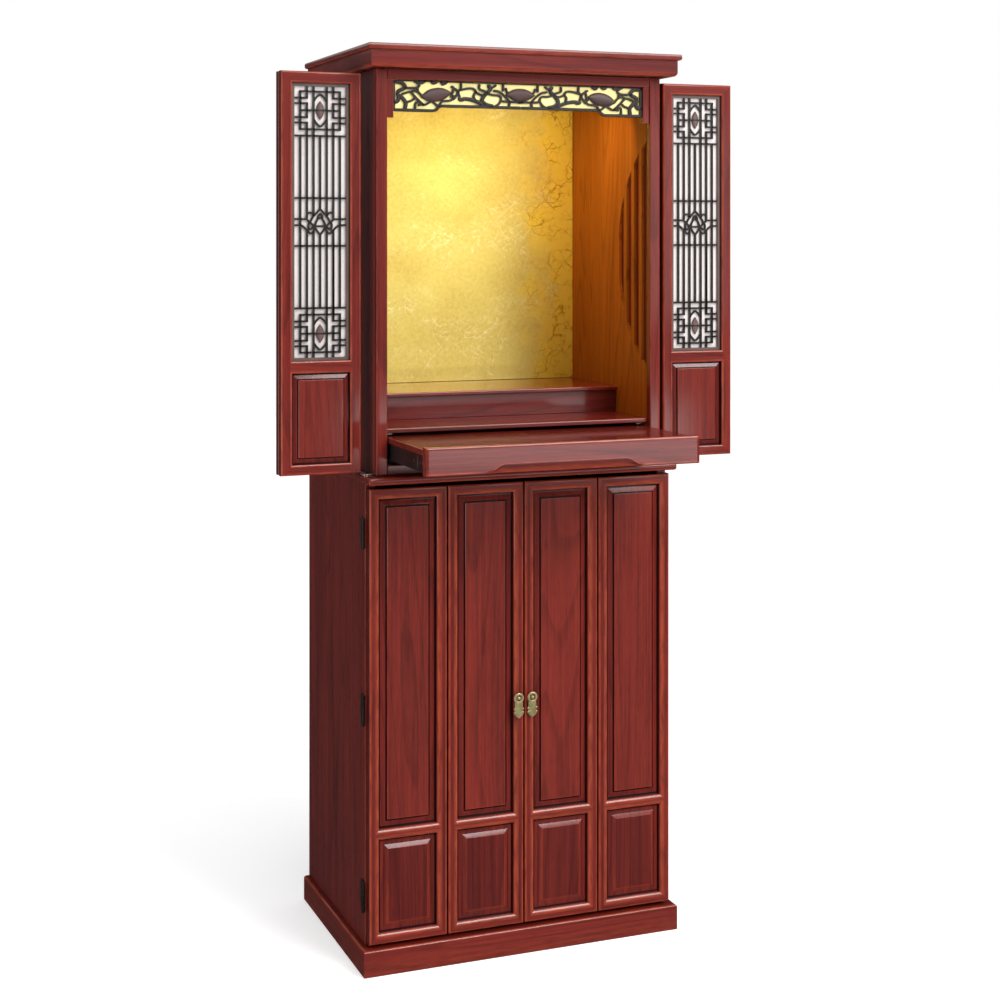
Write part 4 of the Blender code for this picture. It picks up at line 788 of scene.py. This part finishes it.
def leaf_shape(middle, long, tall, tilt, y0, y1):
    """A pointed oval: along its length t from -1 to 1 the half height is the tall value times 1 less t to
    the power 2.4."""
    t = np.sin(np.linspace(-np.pi / 2, np.pi / 2, 22))
    path = np.array(middle) + t[:, None] * long * np.array([math.cos(tilt), math.sin(tilt)])
    return swept(path, tall * np.clip(1 - np.abs(t) ** 2.4, 0.01, 1), DOMED_SECTION, y0, y1)


# %% The lattice's bars and its flower
BAR, PITCH, BORDER, BLOCK, CROSSBAR = 0.0033, 0.01175, 0.0053, 0.0465, 0.0411
LEVELS = (0.0120, 0.0213, 0.0325, 0.0437)
lotus = [
    [(0, 22.5), (6, 16), (11.4, 10.2), (15.2, 4.8), (18, -1.4)],
    [(0, 7.4), (4, 5.2), (7.4, -0.6), (9.4, -7.2)],
    [(-1, -7.2), (10, -7.2)], [(24, 4.8), (18, -1), (10, -7.2)],
    [(11.6, 9.8), (14, 14.5), (18, 16.3), (22.6, 14.4)],
    [(34, -5.2), (28.8, -9), (22.7, -14.5), (17.3, -19.8), (12, -16.8), (9.6, -8.5)],
    [(9.6, -9), (5, -16), (0, -22)], [(20.4, -1.4), (20.4, -9), (18, -13), (11, -7.4)],
    [(24, 4.8), (48, 5.3)], [(34, -5.2), (48, -5.6)], [(0, 14.6), (3, 11), (4.4, 5.8)],
]
block_tip = [(0, 28.2), (3.6, 25.4), (8.2, 20.6), (11.4, 15.5)]
STOPS = [(0.0225, 0.0220), (0.0105, 0.0165), (0.0055, 0.0145), (0, 0)]


def lattice_bars(half, tall):
    """Rows of (x0, z0, x1, z1) about the window's middle: the bars and, at each end, a block."""
    edge, rows = half - BORDER, []

    def upright(column, z0, z1):
        for flip in {1, -1 if column else 1}:
            x = flip * column * PITCH
            rows.append((x - BAR / 2, min(z0, z1), x + BAR / 2, max(z0, z1)))

    def across(x0, x1, z, both=True):
        for flip in {1, -1} if both else {1}:
            rows.append((min(flip * x0, flip * x1), z - BAR / 2, max(flip * x0, flip * x1), z + BAR / 2))

    short, middle, box, closing = LEVELS
    for sign in (1, -1):
        centre = sign * (tall - BLOCK)
        end = sign * (tall - BORDER / 2)
        upright(3, centre - box, centre + box)
        upright(1, centre - sign * closing, end)
        for a, b in ((end, middle), (-sign * closing, -sign * middle), (-short, short)):
            far = a if a == end else centre + a
            upright(2, far, centre + (sign * b if a == end else b))
        for z in (short, middle, -short, -middle):
            across(edge + BORDER / 2, 2 * PITCH - BAR / 2, centre + z)
        for z in (box, -box):
            across(-3 * PITCH - BAR / 2, 3 * PITCH + BAR / 2, centre + z, both=False)
        across(3 * PITCH, PITCH, centre)
        across(-edge - BORDER / 2, edge + BORDER / 2, centre - sign * closing, both=False)
        across(-edge - BORDER / 2, edge + BORDER / 2, sign * CROSSBAR, both=False)
    reach = tall - BLOCK - closing
    for column, (above, below) in enumerate(STOPS):
        upright(column, above, reach)
        upright(column, -reach, -below)
    return np.array(rows)


def lattice(hand, side):
    """Bars, the two blocks' pointed shapes and the lotus, all in front of the pane."""
    middle, half, tall = windows[hand, side]
    leaf, body = f"upper_{hand}_leaf_{side}", f"upper_{hand}_{side}"
    low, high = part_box(leaf + "_lattice")
    y0, y1 = (low.y, high.y) if hand == "inner" else (high.y, low.y)
    at, ends = np.array([middle.x, middle.z]), (tall - BLOCK, BLOCK - tall)
    made = [slats(lattice_bars(half - 0.0003, tall - 0.0003) + np.tile(at, 2), low.y, high.y)]
    for flip in (1, -1):
        made += [stroke(np.array(s) / 1000 * (flip, 1) + at, BAR, y0, y1) for s in lotus]
        for centre in ends:
            for up in (1, -1):
                tip = np.array(block_tip) / 1000 * (flip, up)
                made.append(stroke(tip + at + (0, centre), BAR, y0, y1))
    for centre in ends:
        made.append(stroke(np.array([(-0.0105, 0), (0.0105, 0)]) + at + (0, centre), BAR, y0, y1))
    ovals = [leaf_shape(at + (0, centre), 0.0160, 0.0070, math.pi / 2, y0, y1) for centre in ends]
    edge, wide, high_up = half - BORDER, half - 0.0001, tall - 0.0001
    border = [(-wide, -high_up, -edge, high_up), (edge, -high_up, wide, high_up)]
    border += [(-edge, -high_up, edge, BORDER - high_up), (-edge, high_up - BORDER, edge, high_up)]
    ovals.append(slats(np.array(border) + np.tile(at, 2), low.y - 0.0004, high.y + 0.0003))
    # Bars and lotus are near black as painted shade; the border and the two ovals are a lighter brown of the
    # same wood as painted highlight.
    piece = shell(f"lattice_{hand}_{side}", made, body, silhouette_shaded_wood, [leaf + "_lattice"])
    shell(f"lattice_border_{hand}_{side}", ovals, body, lit_border_wood)
    pane = rounded_box(*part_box(leaf + "_pane"), 0.0005, "Z")
    shell(f"pane_{hand}_{side}", [pane], body, pane_white, [leaf + "_pane"])
    return len(piece.data.polygons)


print("lattice faces:", [lattice(*key) for key in windows])

# %% [markdown]
# ## The fretwork under the lintel
#
# A thin board is sawn into a vine: thick stems, twigs, three leaves and a rail below that steps up towards
# the middle. Its strokes are given for the left half, in millimetres from the left end and from the top, and
# mirrored. A gilt sheet closes its back.

# %% The vine
low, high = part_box("transom")
thick_stems = [
    [(0, 3.5), (15, 5), (21, 9), (22, 14), (12, 19), (8, 23)], [(8, 22), (11, 31), (9, 37), (5, 39), (0, 39)],
    [(12, 26), (20, 34), (24, 41), (22, 51)],
    [(121, 30), (128, 32), (132, 30), (144, 31), (158, 35), (172, 41)],
    [(177, 4), (182, 11), (177, 17), (170, 24), (166, 32), (174, 39), (188, 42)],
]
twigs = [
    [(20, 14), (34, 14), (44, 13), (49, 9), (44, 4), (38, 2)],
    [(16, 25), (29, 21), (33, 21), (45, 33), (58, 44)],
    [(33, 20), (44, 19), (55, 28), (66, 35)], [(24, 39), (34, 36), (41, 31)], [(46, 19), (46, 13)],
    [(41, 51), (42, 40), (50, 38)], [(46, 44), (52, 42), (60, 42), (71, 36)], [(72, 36), (82, 43), (87, 45)],
    [(85, 44), (91, 36), (108, 33), (113, 24)], [(107, 9), (112, 11), (111, 18), (107, 28)],
    [(126, 0), (126, 12), (121, 18), (124, 28)], [(113, 12), (120, 17), (119, 23), (111, 33)],
    [(124, 15), (138, 12), (149, 12), (154, 17), (150, 24), (153, 33)],
    [(161, 3), (161, 12), (172, 16), (176, 20)], [(152, 17), (164, 22), (172, 21)], [(182, 11), (193, 4)],
    [(177, 20), (187, 22), (199, 23), (202, 30), (197, 38), (190, 42)],
    [(187, 14), (199, 16), (211, 25), (218, 33), (217, 42)], [(203, 32), (209, 33), (218, 33), (240, 33.5)],
    [(206, 1), (206, 15)], [(211, 8), (213, 15), (224, 26), (233, 30)], [(233, 29), (237, 34), (240, 34)],
]
half_width = high.x - 0.0002
rail = [
    [(1.4, 1), (1.4, 52)], [(0, 52.6), (40, 52.6), (76, 52.6)],
    [(74, 52.6), (80, 50.5), (84, 46), (90, 43.8)], [(88, 43.8), (160, 43.6), (240, 43.6)],
]
scallops = [
    [(48, 0), (51, 5), (56, 3.5), (60, 0)], [(70, 0), (74, 4.5), (79, 3.5), (82, 0)],
    [(88, 0), (92, 5.5), (97, 4), (101, 0)],
]


def fret(points, flip):
    """Millimetres from the left end and from the top, turned into metres about the middle, mirrored for the
    right."""
    p = np.array(points, float) / 1000
    return np.stack([flip * np.minimum(p[:, 0] - half_width, 0), high.z - p[:, 1]], -1)


vine_back = high.y - 0.0008
made, leaves = [], []
for flip in (1, -1):
    for strokes, width in ((thick_stems, 0.0066), (twigs, 0.0040), (rail, 0.0054), (scallops, 0.0046)):
        made += [stroke(fret(s, flip), width, low.y, vine_back) for s in strokes]
    place = (flip * (0.080 - half_width), high.z - 0.0245)
    leaves.append(leaf_shape(place, 0.0290, 0.0120, flip * 0.16, low.y - 0.0003, vine_back))
leaves.append(leaf_shape((0, high.z - 0.0205), 0.0285, 0.0112, 0, low.y - 0.0003, vine_back))
made.append(slats([(-half_width, high.z - 0.0024, half_width, high.z)], low.y, vine_back))
# The vine takes the near-black copy of the wood as painted shade, and its leaves, cut from the same board, a
# lighter brown as painted highlight.
vine = shell("fretwork_vine", made, "cabinet", silhouette_shaded_wood, ["transom"])
shell("fretwork_leaves", leaves, "cabinet", lit_carved_wood)
behind = [fret([(1, 0.5), (1, 52), (76, 52), (83, 47), (90, 43.5), (240, 43.4)], flip) for flip in (1, -1)]
outline = np.concatenate([behind[0], behind[1][::-1]])
shell("gilt_backing", [extruded(outline, vine_back - 0.0001, high.y)], "cabinet", gilt_paper)
print("vine faces:", len(vine.data.polygons))

# %% [markdown]
# ## The tray
#
# The tray slides out from under the shrine. Its front board has a long finger recess along the lower edge
# that rises at both ends in an S-curve. Cutting it with a Boolean would leave hard corners. Instead, the
# board is one profile carried from its left end to its right end, and the recess is that profile changing
# on the way.

# %% The tray's front board
RECESS_HALF, RECESS_RAMP, RECESS_HEIGHT, RECESS_DEPTH = 0.140, 0.030, 0.0145, 0.006


def tray_front():
    """Across x, the recess's height is its full height times the S-curve 3t squared less 2t cubed, where t
    goes from 0 to 1 along each ramp. Where it has any height the lower part of the profile moves back by
    the recess's depth."""
    low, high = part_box("tray_apron")
    body = np.linspace(-1, 1, 121)
    x = np.concatenate([[low.x], low.x + 0.0012 + (high.x - low.x - 0.0024) * (body + 1) / 2, [high.x]])
    t = np.clip((RECESS_HALF - np.abs(x)) / RECESS_RAMP, 0, 1)
    line = low.z + 0.0024 + (RECESS_HEIGHT - 0.0024) * t * t * (3 - 2 * t)
    back = RECESS_DEPTH * np.clip(t * 8, 0, 1)
    thick, top, foot = high.y - low.y, high.z, low.z
    # The third number of each point is edge wear: partly real wear, partly painted highlight on the top and
    # recess edges.
    profile = [
        (foot, back + 0.0014, 0.3), (foot + 0.0012, back, 0.5), (line - 0.0006, back, 0.0),
        (line - 0.0003, back * 0.8, 0.0), (line, 0.0012 * (back > 0), 0.7), (line + 0.0008, 0, 1.0),
        (line + 0.0028, 0, 0.0), (top - 0.0050, 0, 0.0), (top - 0.0030, 0.0001, 0.5),
        (top - 0.0012, 0.0007, 1.0), (top - 0.0003, 0.0020, 1.0), (top, 0.0042, 0.4),
        (top, thick - 0.0020, 0.0), (top - 0.0010, thick, 0.5), (foot + 0.0010, thick, 0.3),
        (foot, thick - 0.0010, 0.3),
    ]
    z, depth = (np.stack([point[k] + 0 * x for point in profile], 1) for k in (0, 1))
    for end in (0, -1):
        z[end] = np.clip(z[end], foot + 0.0012, top - 0.0014)
        depth[end] = np.clip(depth[end], 0.0014, thick - 0.0012)
    points = np.stack([np.broadcast_to(x[:, None], z.shape), low.y + depth, z], -1)
    worn = np.broadcast_to([p[2] for p in profile], z.shape)
    made = grid_patch(points, "X", worn, closed=True)
    made[1].extend(lids(*z.shape))
    return shell("tray_front_board", [made], "tray", cherry, ["tray_apron"], sharp=50)


front_board = tray_front()
low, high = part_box("tray_board")
shell("tray_top", [rounded_box(low, high, 0.0012, "X")], "tray", cherry, ["tray_board"])
print("tray front:", len(front_board.data.polygons), "faces")

# %% [markdown]
# The tray runs on telescopic slides: a black channel on the cabinet and a black rail on the tray, with bright
# screws and a catch. The channel and the rail are each one section carried straight back, and a screw is a
# small solid of revolution.

# %% Slides, screws and pegs
def screw_head(centre, radius, height, axis, sign):
    """A domed head: from its rim the radius falls as the cosine and the height rises as the sine. Its slot
    is a step."""
    turn = np.linspace(0, np.pi / 2, 6)
    dome = [(radius * math.cos(t), sign * height * (0.35 + 0.65 * math.sin(t))) for t in turn[:-1]]
    profile = [(0, 0), (radius, 0), *dome, (radius * 0.26, sign * height)]
    profile += [(radius * 0.24, sign * height * 0.72), (0, sign * height * 0.68)]
    return turned(profile, centre, axis, 18)


for side, hand in (("left", 1), ("right", -1)):
    low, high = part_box(f"slide_outer_{side}")
    web = low.x if hand > 0 else high.x
    reach, lip, wall = high.x - low.x, 0.0040, 0.0013
    bend = [(0, 0), (reach, 0), (reach, lip), (reach - wall, lip), (reach - wall, wall), (wall, wall)]
    up = [(a, high.z - low.z - b) for a, b in bend[::-1]]
    outline = [(web + hand * a, low.z + b) for a, b in bend + up]
    channel = extruded(outline, low.y, high.y)
    shell(f"slide_channel_{side}", [channel], "cabinet", black, [f"slide_outer_{side}"])
    low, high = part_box(f"slide_inner_{side}")
    back, face = (low.x, high.x) if hand > 0 else (high.x, low.x)
    middle, hollow = (low.z + high.z) / 2, face - hand * 0.0016
    outline = [(back, low.z), (face, low.z), (face, low.z + 0.006), (hollow, low.z + 0.0085),
               (hollow, high.z - 0.0085), (face, high.z - 0.006), (face, high.z), (back, high.z)]
    shell(f"slide_rail_{side}", [extruded(outline, low.y, high.y)], "tray", black, [f"slide_inner_{side}"])
    marks = [screw_head((back, low.y + at, middle), 0.0026, 0.0004, "X", -hand) for at in (0.013, 0.024)]
    x0, x1 = sorted((back, back - hand * 0.0003))
    catch = (x0, low.y + 0.0360, middle - 0.011), (x1, low.y + 0.0385, middle + 0.011)
    marks.append(rounded_box(*catch, 0.0002))
    marks.append(screw_head((back, low.y + 0.055, middle + 0.001), 0.0030, 0.0004, "X", -hand))
    shell(f"slide_marks_{side}", marks, "tray", steel)
    low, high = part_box(f"shelf_peg_{side}")
    peg = turned(bar_profile((high.z - low.z) / 2, high.x - low.x, 0.0005), (low + high) / 2, "X", 28)
    shell(f"peg_{side}", [peg], "cabinet", steel, [f"shelf_peg_{side}"])
print("slides and pegs ready")

# %% [markdown]
# ## Hinges and pivots
#
# The outer lower leaves turn on narrow butt hinges that wrap the side's front edge. The folded upper leaves
# turn on a pivot arm that stands on a small plate. Knuckles are short round bars in a row with thin gaps,
# so the hinge reads as a hinge from close by.

# %% Knuckles, leaves and screws
HINGE_RADIUS, KNUCKLES = 0.003, 5
for side, hand in (("left", 1), ("right", -1)):
    for number in (1, 2, 3):
        node = f"lower_hinge_{side}_{number}"
        low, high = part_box(node)
        radius = HINGE_RADIUS
        x = low.x + radius if hand > 0 else high.x - radius
        y, tall = low.y + radius, high.z - low.z
        made = []
        for k in range(KNUCKLES):
            z0, z1 = low.z + tall * k / KNUCKLES + 0.0002, low.z + tall * (k + 1) / KNUCKLES - 0.0002
            made.append(turned(bar_profile(radius - 0.00005, z1 - z0), (x, y, (z0 + z1) / 2), around=28))
        made.append(turned(bar_profile(radius * 0.6, tall - 0.0003), (x, y, (low.z + high.z) / 2), around=20))
        plate = sorted((x + hand * 0.0030, x + hand * 0.0016))
        made.append(rounded_box((plate[0], y + 0.0012, low.z), (plate[1], high.y, high.z), 0.0005))
        x0, x1 = sorted((x, x + hand * 0.0030))
        bridge = (x0, y + 0.0008, low.z + tall * 0.2), (x1, y + 0.0029, high.z - tall * 0.2)
        made.append(rounded_box(*bridge, 0.0004))
        shell(f"hinge_{side}_{number}", made, "cabinet", black, [node], merge=1e-9)
        outside = plate[0 if hand > 0 else 1]
        spots = [(outside, high.y - 0.0072, low.z + tall * share) for share in (0.2, 0.5, 0.8)]
        heads = [screw_head(spot, 0.0024, 0.0005, "X", -hand) for spot in spots]
        shell(f"hinge_screws_{side}_{number}", heads, "cabinet", steel)

for side in ("left", "right"):
    low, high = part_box(f"upper_pivot_plate_{side}")
    middle, length = (low.y + high.y) / 2, high.x - low.x
    spots = [(low.x + share * length, middle, high.z - 0.0001) for share in (0.32, 0.80)]
    made = [rounded_box(low, high, 0.0004)] + [screw_head(spot, 0.0021, 0.0004, "Z", 1) for spot in spots]
    shell(f"pivot_plate_{side}", made, "cabinet", steel, [f"upper_pivot_plate_{side}"], merge=1e-9)
print("hinges ready")

# %% [markdown]
# ## The brass pulls
#
# On each inner leaf hangs a small drop of cast brass: a ring with an eye, a narrow waist, and a lobed foot.
# The stud that it hangs on passes through the eye. The ring is a section carried round a circle, the foot
# is a domed section carried down a line whose half width swells and shrinks, and the lobes are solids of
# revolution.

# %% Drops and studs
def ring_patch(centre, inner, outer, y0, y1, around=40):
    """Round a circle, the section is an ellipse between the two radii, flattened at the back."""
    turn = np.linspace(0, 2 * np.pi, around, endpoint=False)[:, None]
    rim = np.linspace(0, 2 * np.pi, 16, endpoint=False)[None, :]
    radius = (inner + outer) / 2 + (outer - inner) / 2 * np.cos(rim)
    depth = (y0 + y1) / 2 - (y1 - y0) / 2 * np.clip(np.sin(rim), -0.75, 1) + 0 * turn
    points = np.stack([centre[0] + radius * np.cos(turn), depth, centre[1] + radius * np.sin(turn)], -1)
    faces = [[i % (around * 16) for i in f] for f in grid_faces(around + 1, 16, closed=True)]
    return patch(points, faces)


FOOT = np.array([(0, 6.6), (3, 7.2), (7, 7.3), (11, 7.8), (13.4, 8.8), (15.6, 8.6), (16.4, 7.2), (17.4, 8.4),
                 (20, 9.0), (23, 8.2), (26, 5.6), (28, 3.0), (29.3, 0.5)]) / 1000
RING_RADIUS, EYE_RADIUS, WAIST = 0.0095, 0.0052, 0.0057
for side in ("left", "right"):
    low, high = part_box(f"pull_drop_{side}")
    x, z, y = (low.x + high.x) / 2, high.z - RING_RADIUS, (low.y + high.y) / 2
    made = [ring_patch((x, z), EYE_RADIUS, RING_RADIUS, low.y, high.y)]
    waist = z - WAIST
    fall = np.linspace(0, FOOT[-1, 0], 60)
    scale = (waist - low.z) / FOOT[-1, 0]
    path = np.stack([0 * fall + x, waist - fall * scale], -1)
    half = np.interp(fall, FOOT[:, 0], FOOT[:, 1])
    made.append(swept(path, half, DOMED_SECTION, low.y + 0.0001, high.y))
    for flip in (-1, 1):
        for drop, size in ((0.0133, 0.0022), (0.0196, 0.0021)):
            bead = [(size * math.sin(t), size * 0.72 * math.cos(t)) for t in np.linspace(0, np.pi, 9)]
            bead[0], bead[-1] = (0, bead[0][1]), (0, bead[-1][1])
            made.append(turned(bead, (x + flip * 0.0076, y, waist - drop * scale), "Y", 16))
    boss = [(0.0034 * math.cos(t), -0.0006 * math.sin(t)) for t in np.linspace(0, np.pi / 2, 6)]
    boss = [(0, 0.0008), (0.0034, 0.0008), *boss[:-1], (0, boss[-1][1])]
    made.append(turned(boss, (x, low.y + 0.0007, waist - 0.0255 * scale), "Y", 18))
    shell(f"brass_drop_{side}", made, f"pull_{side}", brass, [f"pull_drop_{side}"], merge=1e-9)
    low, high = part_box(f"pull_stud_{side}")
    x, z, reach = (low.x + high.x) / 2, (low.z + high.z) / 2, high.y - low.y
    base, neck, cap = 0.0036, 0.0020, 0.0032
    dome = [(cap * math.cos(t), -reach + 0.0022 * (1 - math.sin(t))) for t in np.linspace(0, np.pi / 2, 7)]
    profile = [(0, 0), (base, 0), (base, -0.0004), (base * 0.8, -0.0010), (neck, -0.0012)]
    profile += [(neck, -reach + 0.0034), (cap * 0.8, -reach + 0.0030), *dome[:-1], (0, -reach)]
    stud = turned(profile, (x, high.y, z), "Y", 28)
    shell(f"brass_stud_{side}", [stud], f"lower_inner_{side}", brass, [f"pull_stud_{side}"])
print("pulls ready")

# %% [markdown]
# ## Floor, light and camera
#
# The floor is a large pale sheet. The light is soft and white from all round, as in a photographer's tent,
# with one large lamp above and to the right, and cards whose reflections draw the lacquer's highlights. In
# the shrine, a small warm lamp behind the lintel lights the foil and the side walls, and the walls' wood
# also has that warm orange light painted into its colour.

# %% The stage
FLOOR_TONES = [(0.93, 0.93, 0.93), (0.95, 0.95, 0.95)]
floor_paint = painted("pale_floor", FLOOR_TONES, (0.55, 0.7), 0.02, (2, 60), light=0.36)
sheet = bpy.data.meshes.new("floor")
span = np.linspace(-9, 9, 13)
gx, gy = np.meshgrid(span, span, indexing="ij")
sheet.from_pydata(np.stack([gx, gy, 0 * gx], -1).reshape(-1, 3), [], grid_faces(13, 13))
sheet.flip_normals()
floor = bpy.data.objects.new("floor", sheet)
sheet.materials.append(floor_paint)
bpy.context.scene.collection.objects.link(floor)
floor.visible_glossy = False

world = bpy.data.worlds.new("studio")
bpy.context.scene.world = world
world.use_nodes = True
fill, add = node_tools(world.node_tree)
rays = add("LightPath").outputs
level = add("Mix", {0: rays["Is Glossy Ray"], 2: 0.50, 3: 0.03}).outputs[0]
level = add("Mix", {0: rays["Is Camera Ray"], 2: level, 3: 1.0}).outputs[0]
fill(world.node_tree.nodes["Background"], {"Color": (1, 1, 1, 1), "Strength": level})


def lamp(name, place, aim, size, power, colour=(1, 1, 1)):
    """A rectangular area lamp at a place, turned to face its aim."""
    light = bpy.data.lights.new(name, "AREA")
    light.shape, light.size, light.size_y = "RECTANGLE", size[0], size[1]
    light.energy, light.color = power, colour
    holder = bpy.data.objects.new(name, light)
    holder.location = place
    holder.rotation_euler = (Vector(aim) - Vector(place)).to_track_quat("-Z", "Y").to_euler()
    holder.visible_camera = False
    bpy.context.scene.collection.objects.link(holder)
    return holder


sun = bpy.data.lights.new("overcast", "SUN")
sun.energy, sun.angle = 1.3, math.radians(50)
overcast = bpy.data.objects.new("overcast", sun)
overcast.rotation_euler = (math.radians(26), 0, math.radians(18))
bpy.context.scene.collection.objects.link(overcast)
lamp("front_box", (1.45, -2.9, 3.0), (0.2, 0, 0.9), (2.0, 2.1), 125)
lamp("front_card", (1.62, -3.4, 1.34), (1.2, 0, 1.34), (1.2, 0.80), 3.4)
lamp("low_card", (1.45, -3.7, 0.50), (0.1, -0.4, 0.9), (1.3, 0.22), 3.2)
lamp("left_card", (-3.0, -0.9, 1.0), (0, 0, 0.9), (0.9, 1.8), 14)
lamp("back_card", (-1.1, 2.6, 2.40), (-0.3, 0, 2.3), (1.3, 1.0), 3)
lamp_place = (0, FRONT + 0.075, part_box("lintel")[0].z - 0.012)
glow = lamp("shrine_lamp", lamp_place, (0, FRONT + 0.36, 1.25), (0.40, 0.06), 2.3, (1.0, 0.88, 0.55))
glow.data.spread = math.radians(140)
glow.visible_glossy = False

camera = bpy.data.objects.new("camera", bpy.data.cameras.new("camera"))
camera.location = (-1.1944, -3.1128, 1.2734)
camera.rotation_euler = (math.radians(90), 0, math.radians(-21.4276))
camera.data.lens, camera.data.sensor_width, camera.data.shift_y = 64.08, 36.0, -0.26585
bpy.context.scene.collection.objects.link(camera)
bpy.context.scene.camera = camera
bpy.context.scene.view_settings.view_transform = "Standard"

# %% Dress the pieces of the frame that stay, list them, and finish
stays = {name: obj for name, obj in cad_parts.items() if not obj.hide_render}
for obj in stays.values():
    for place in obj.material_slots:
        place.material = steel
print("still from the frame:", list(stays))
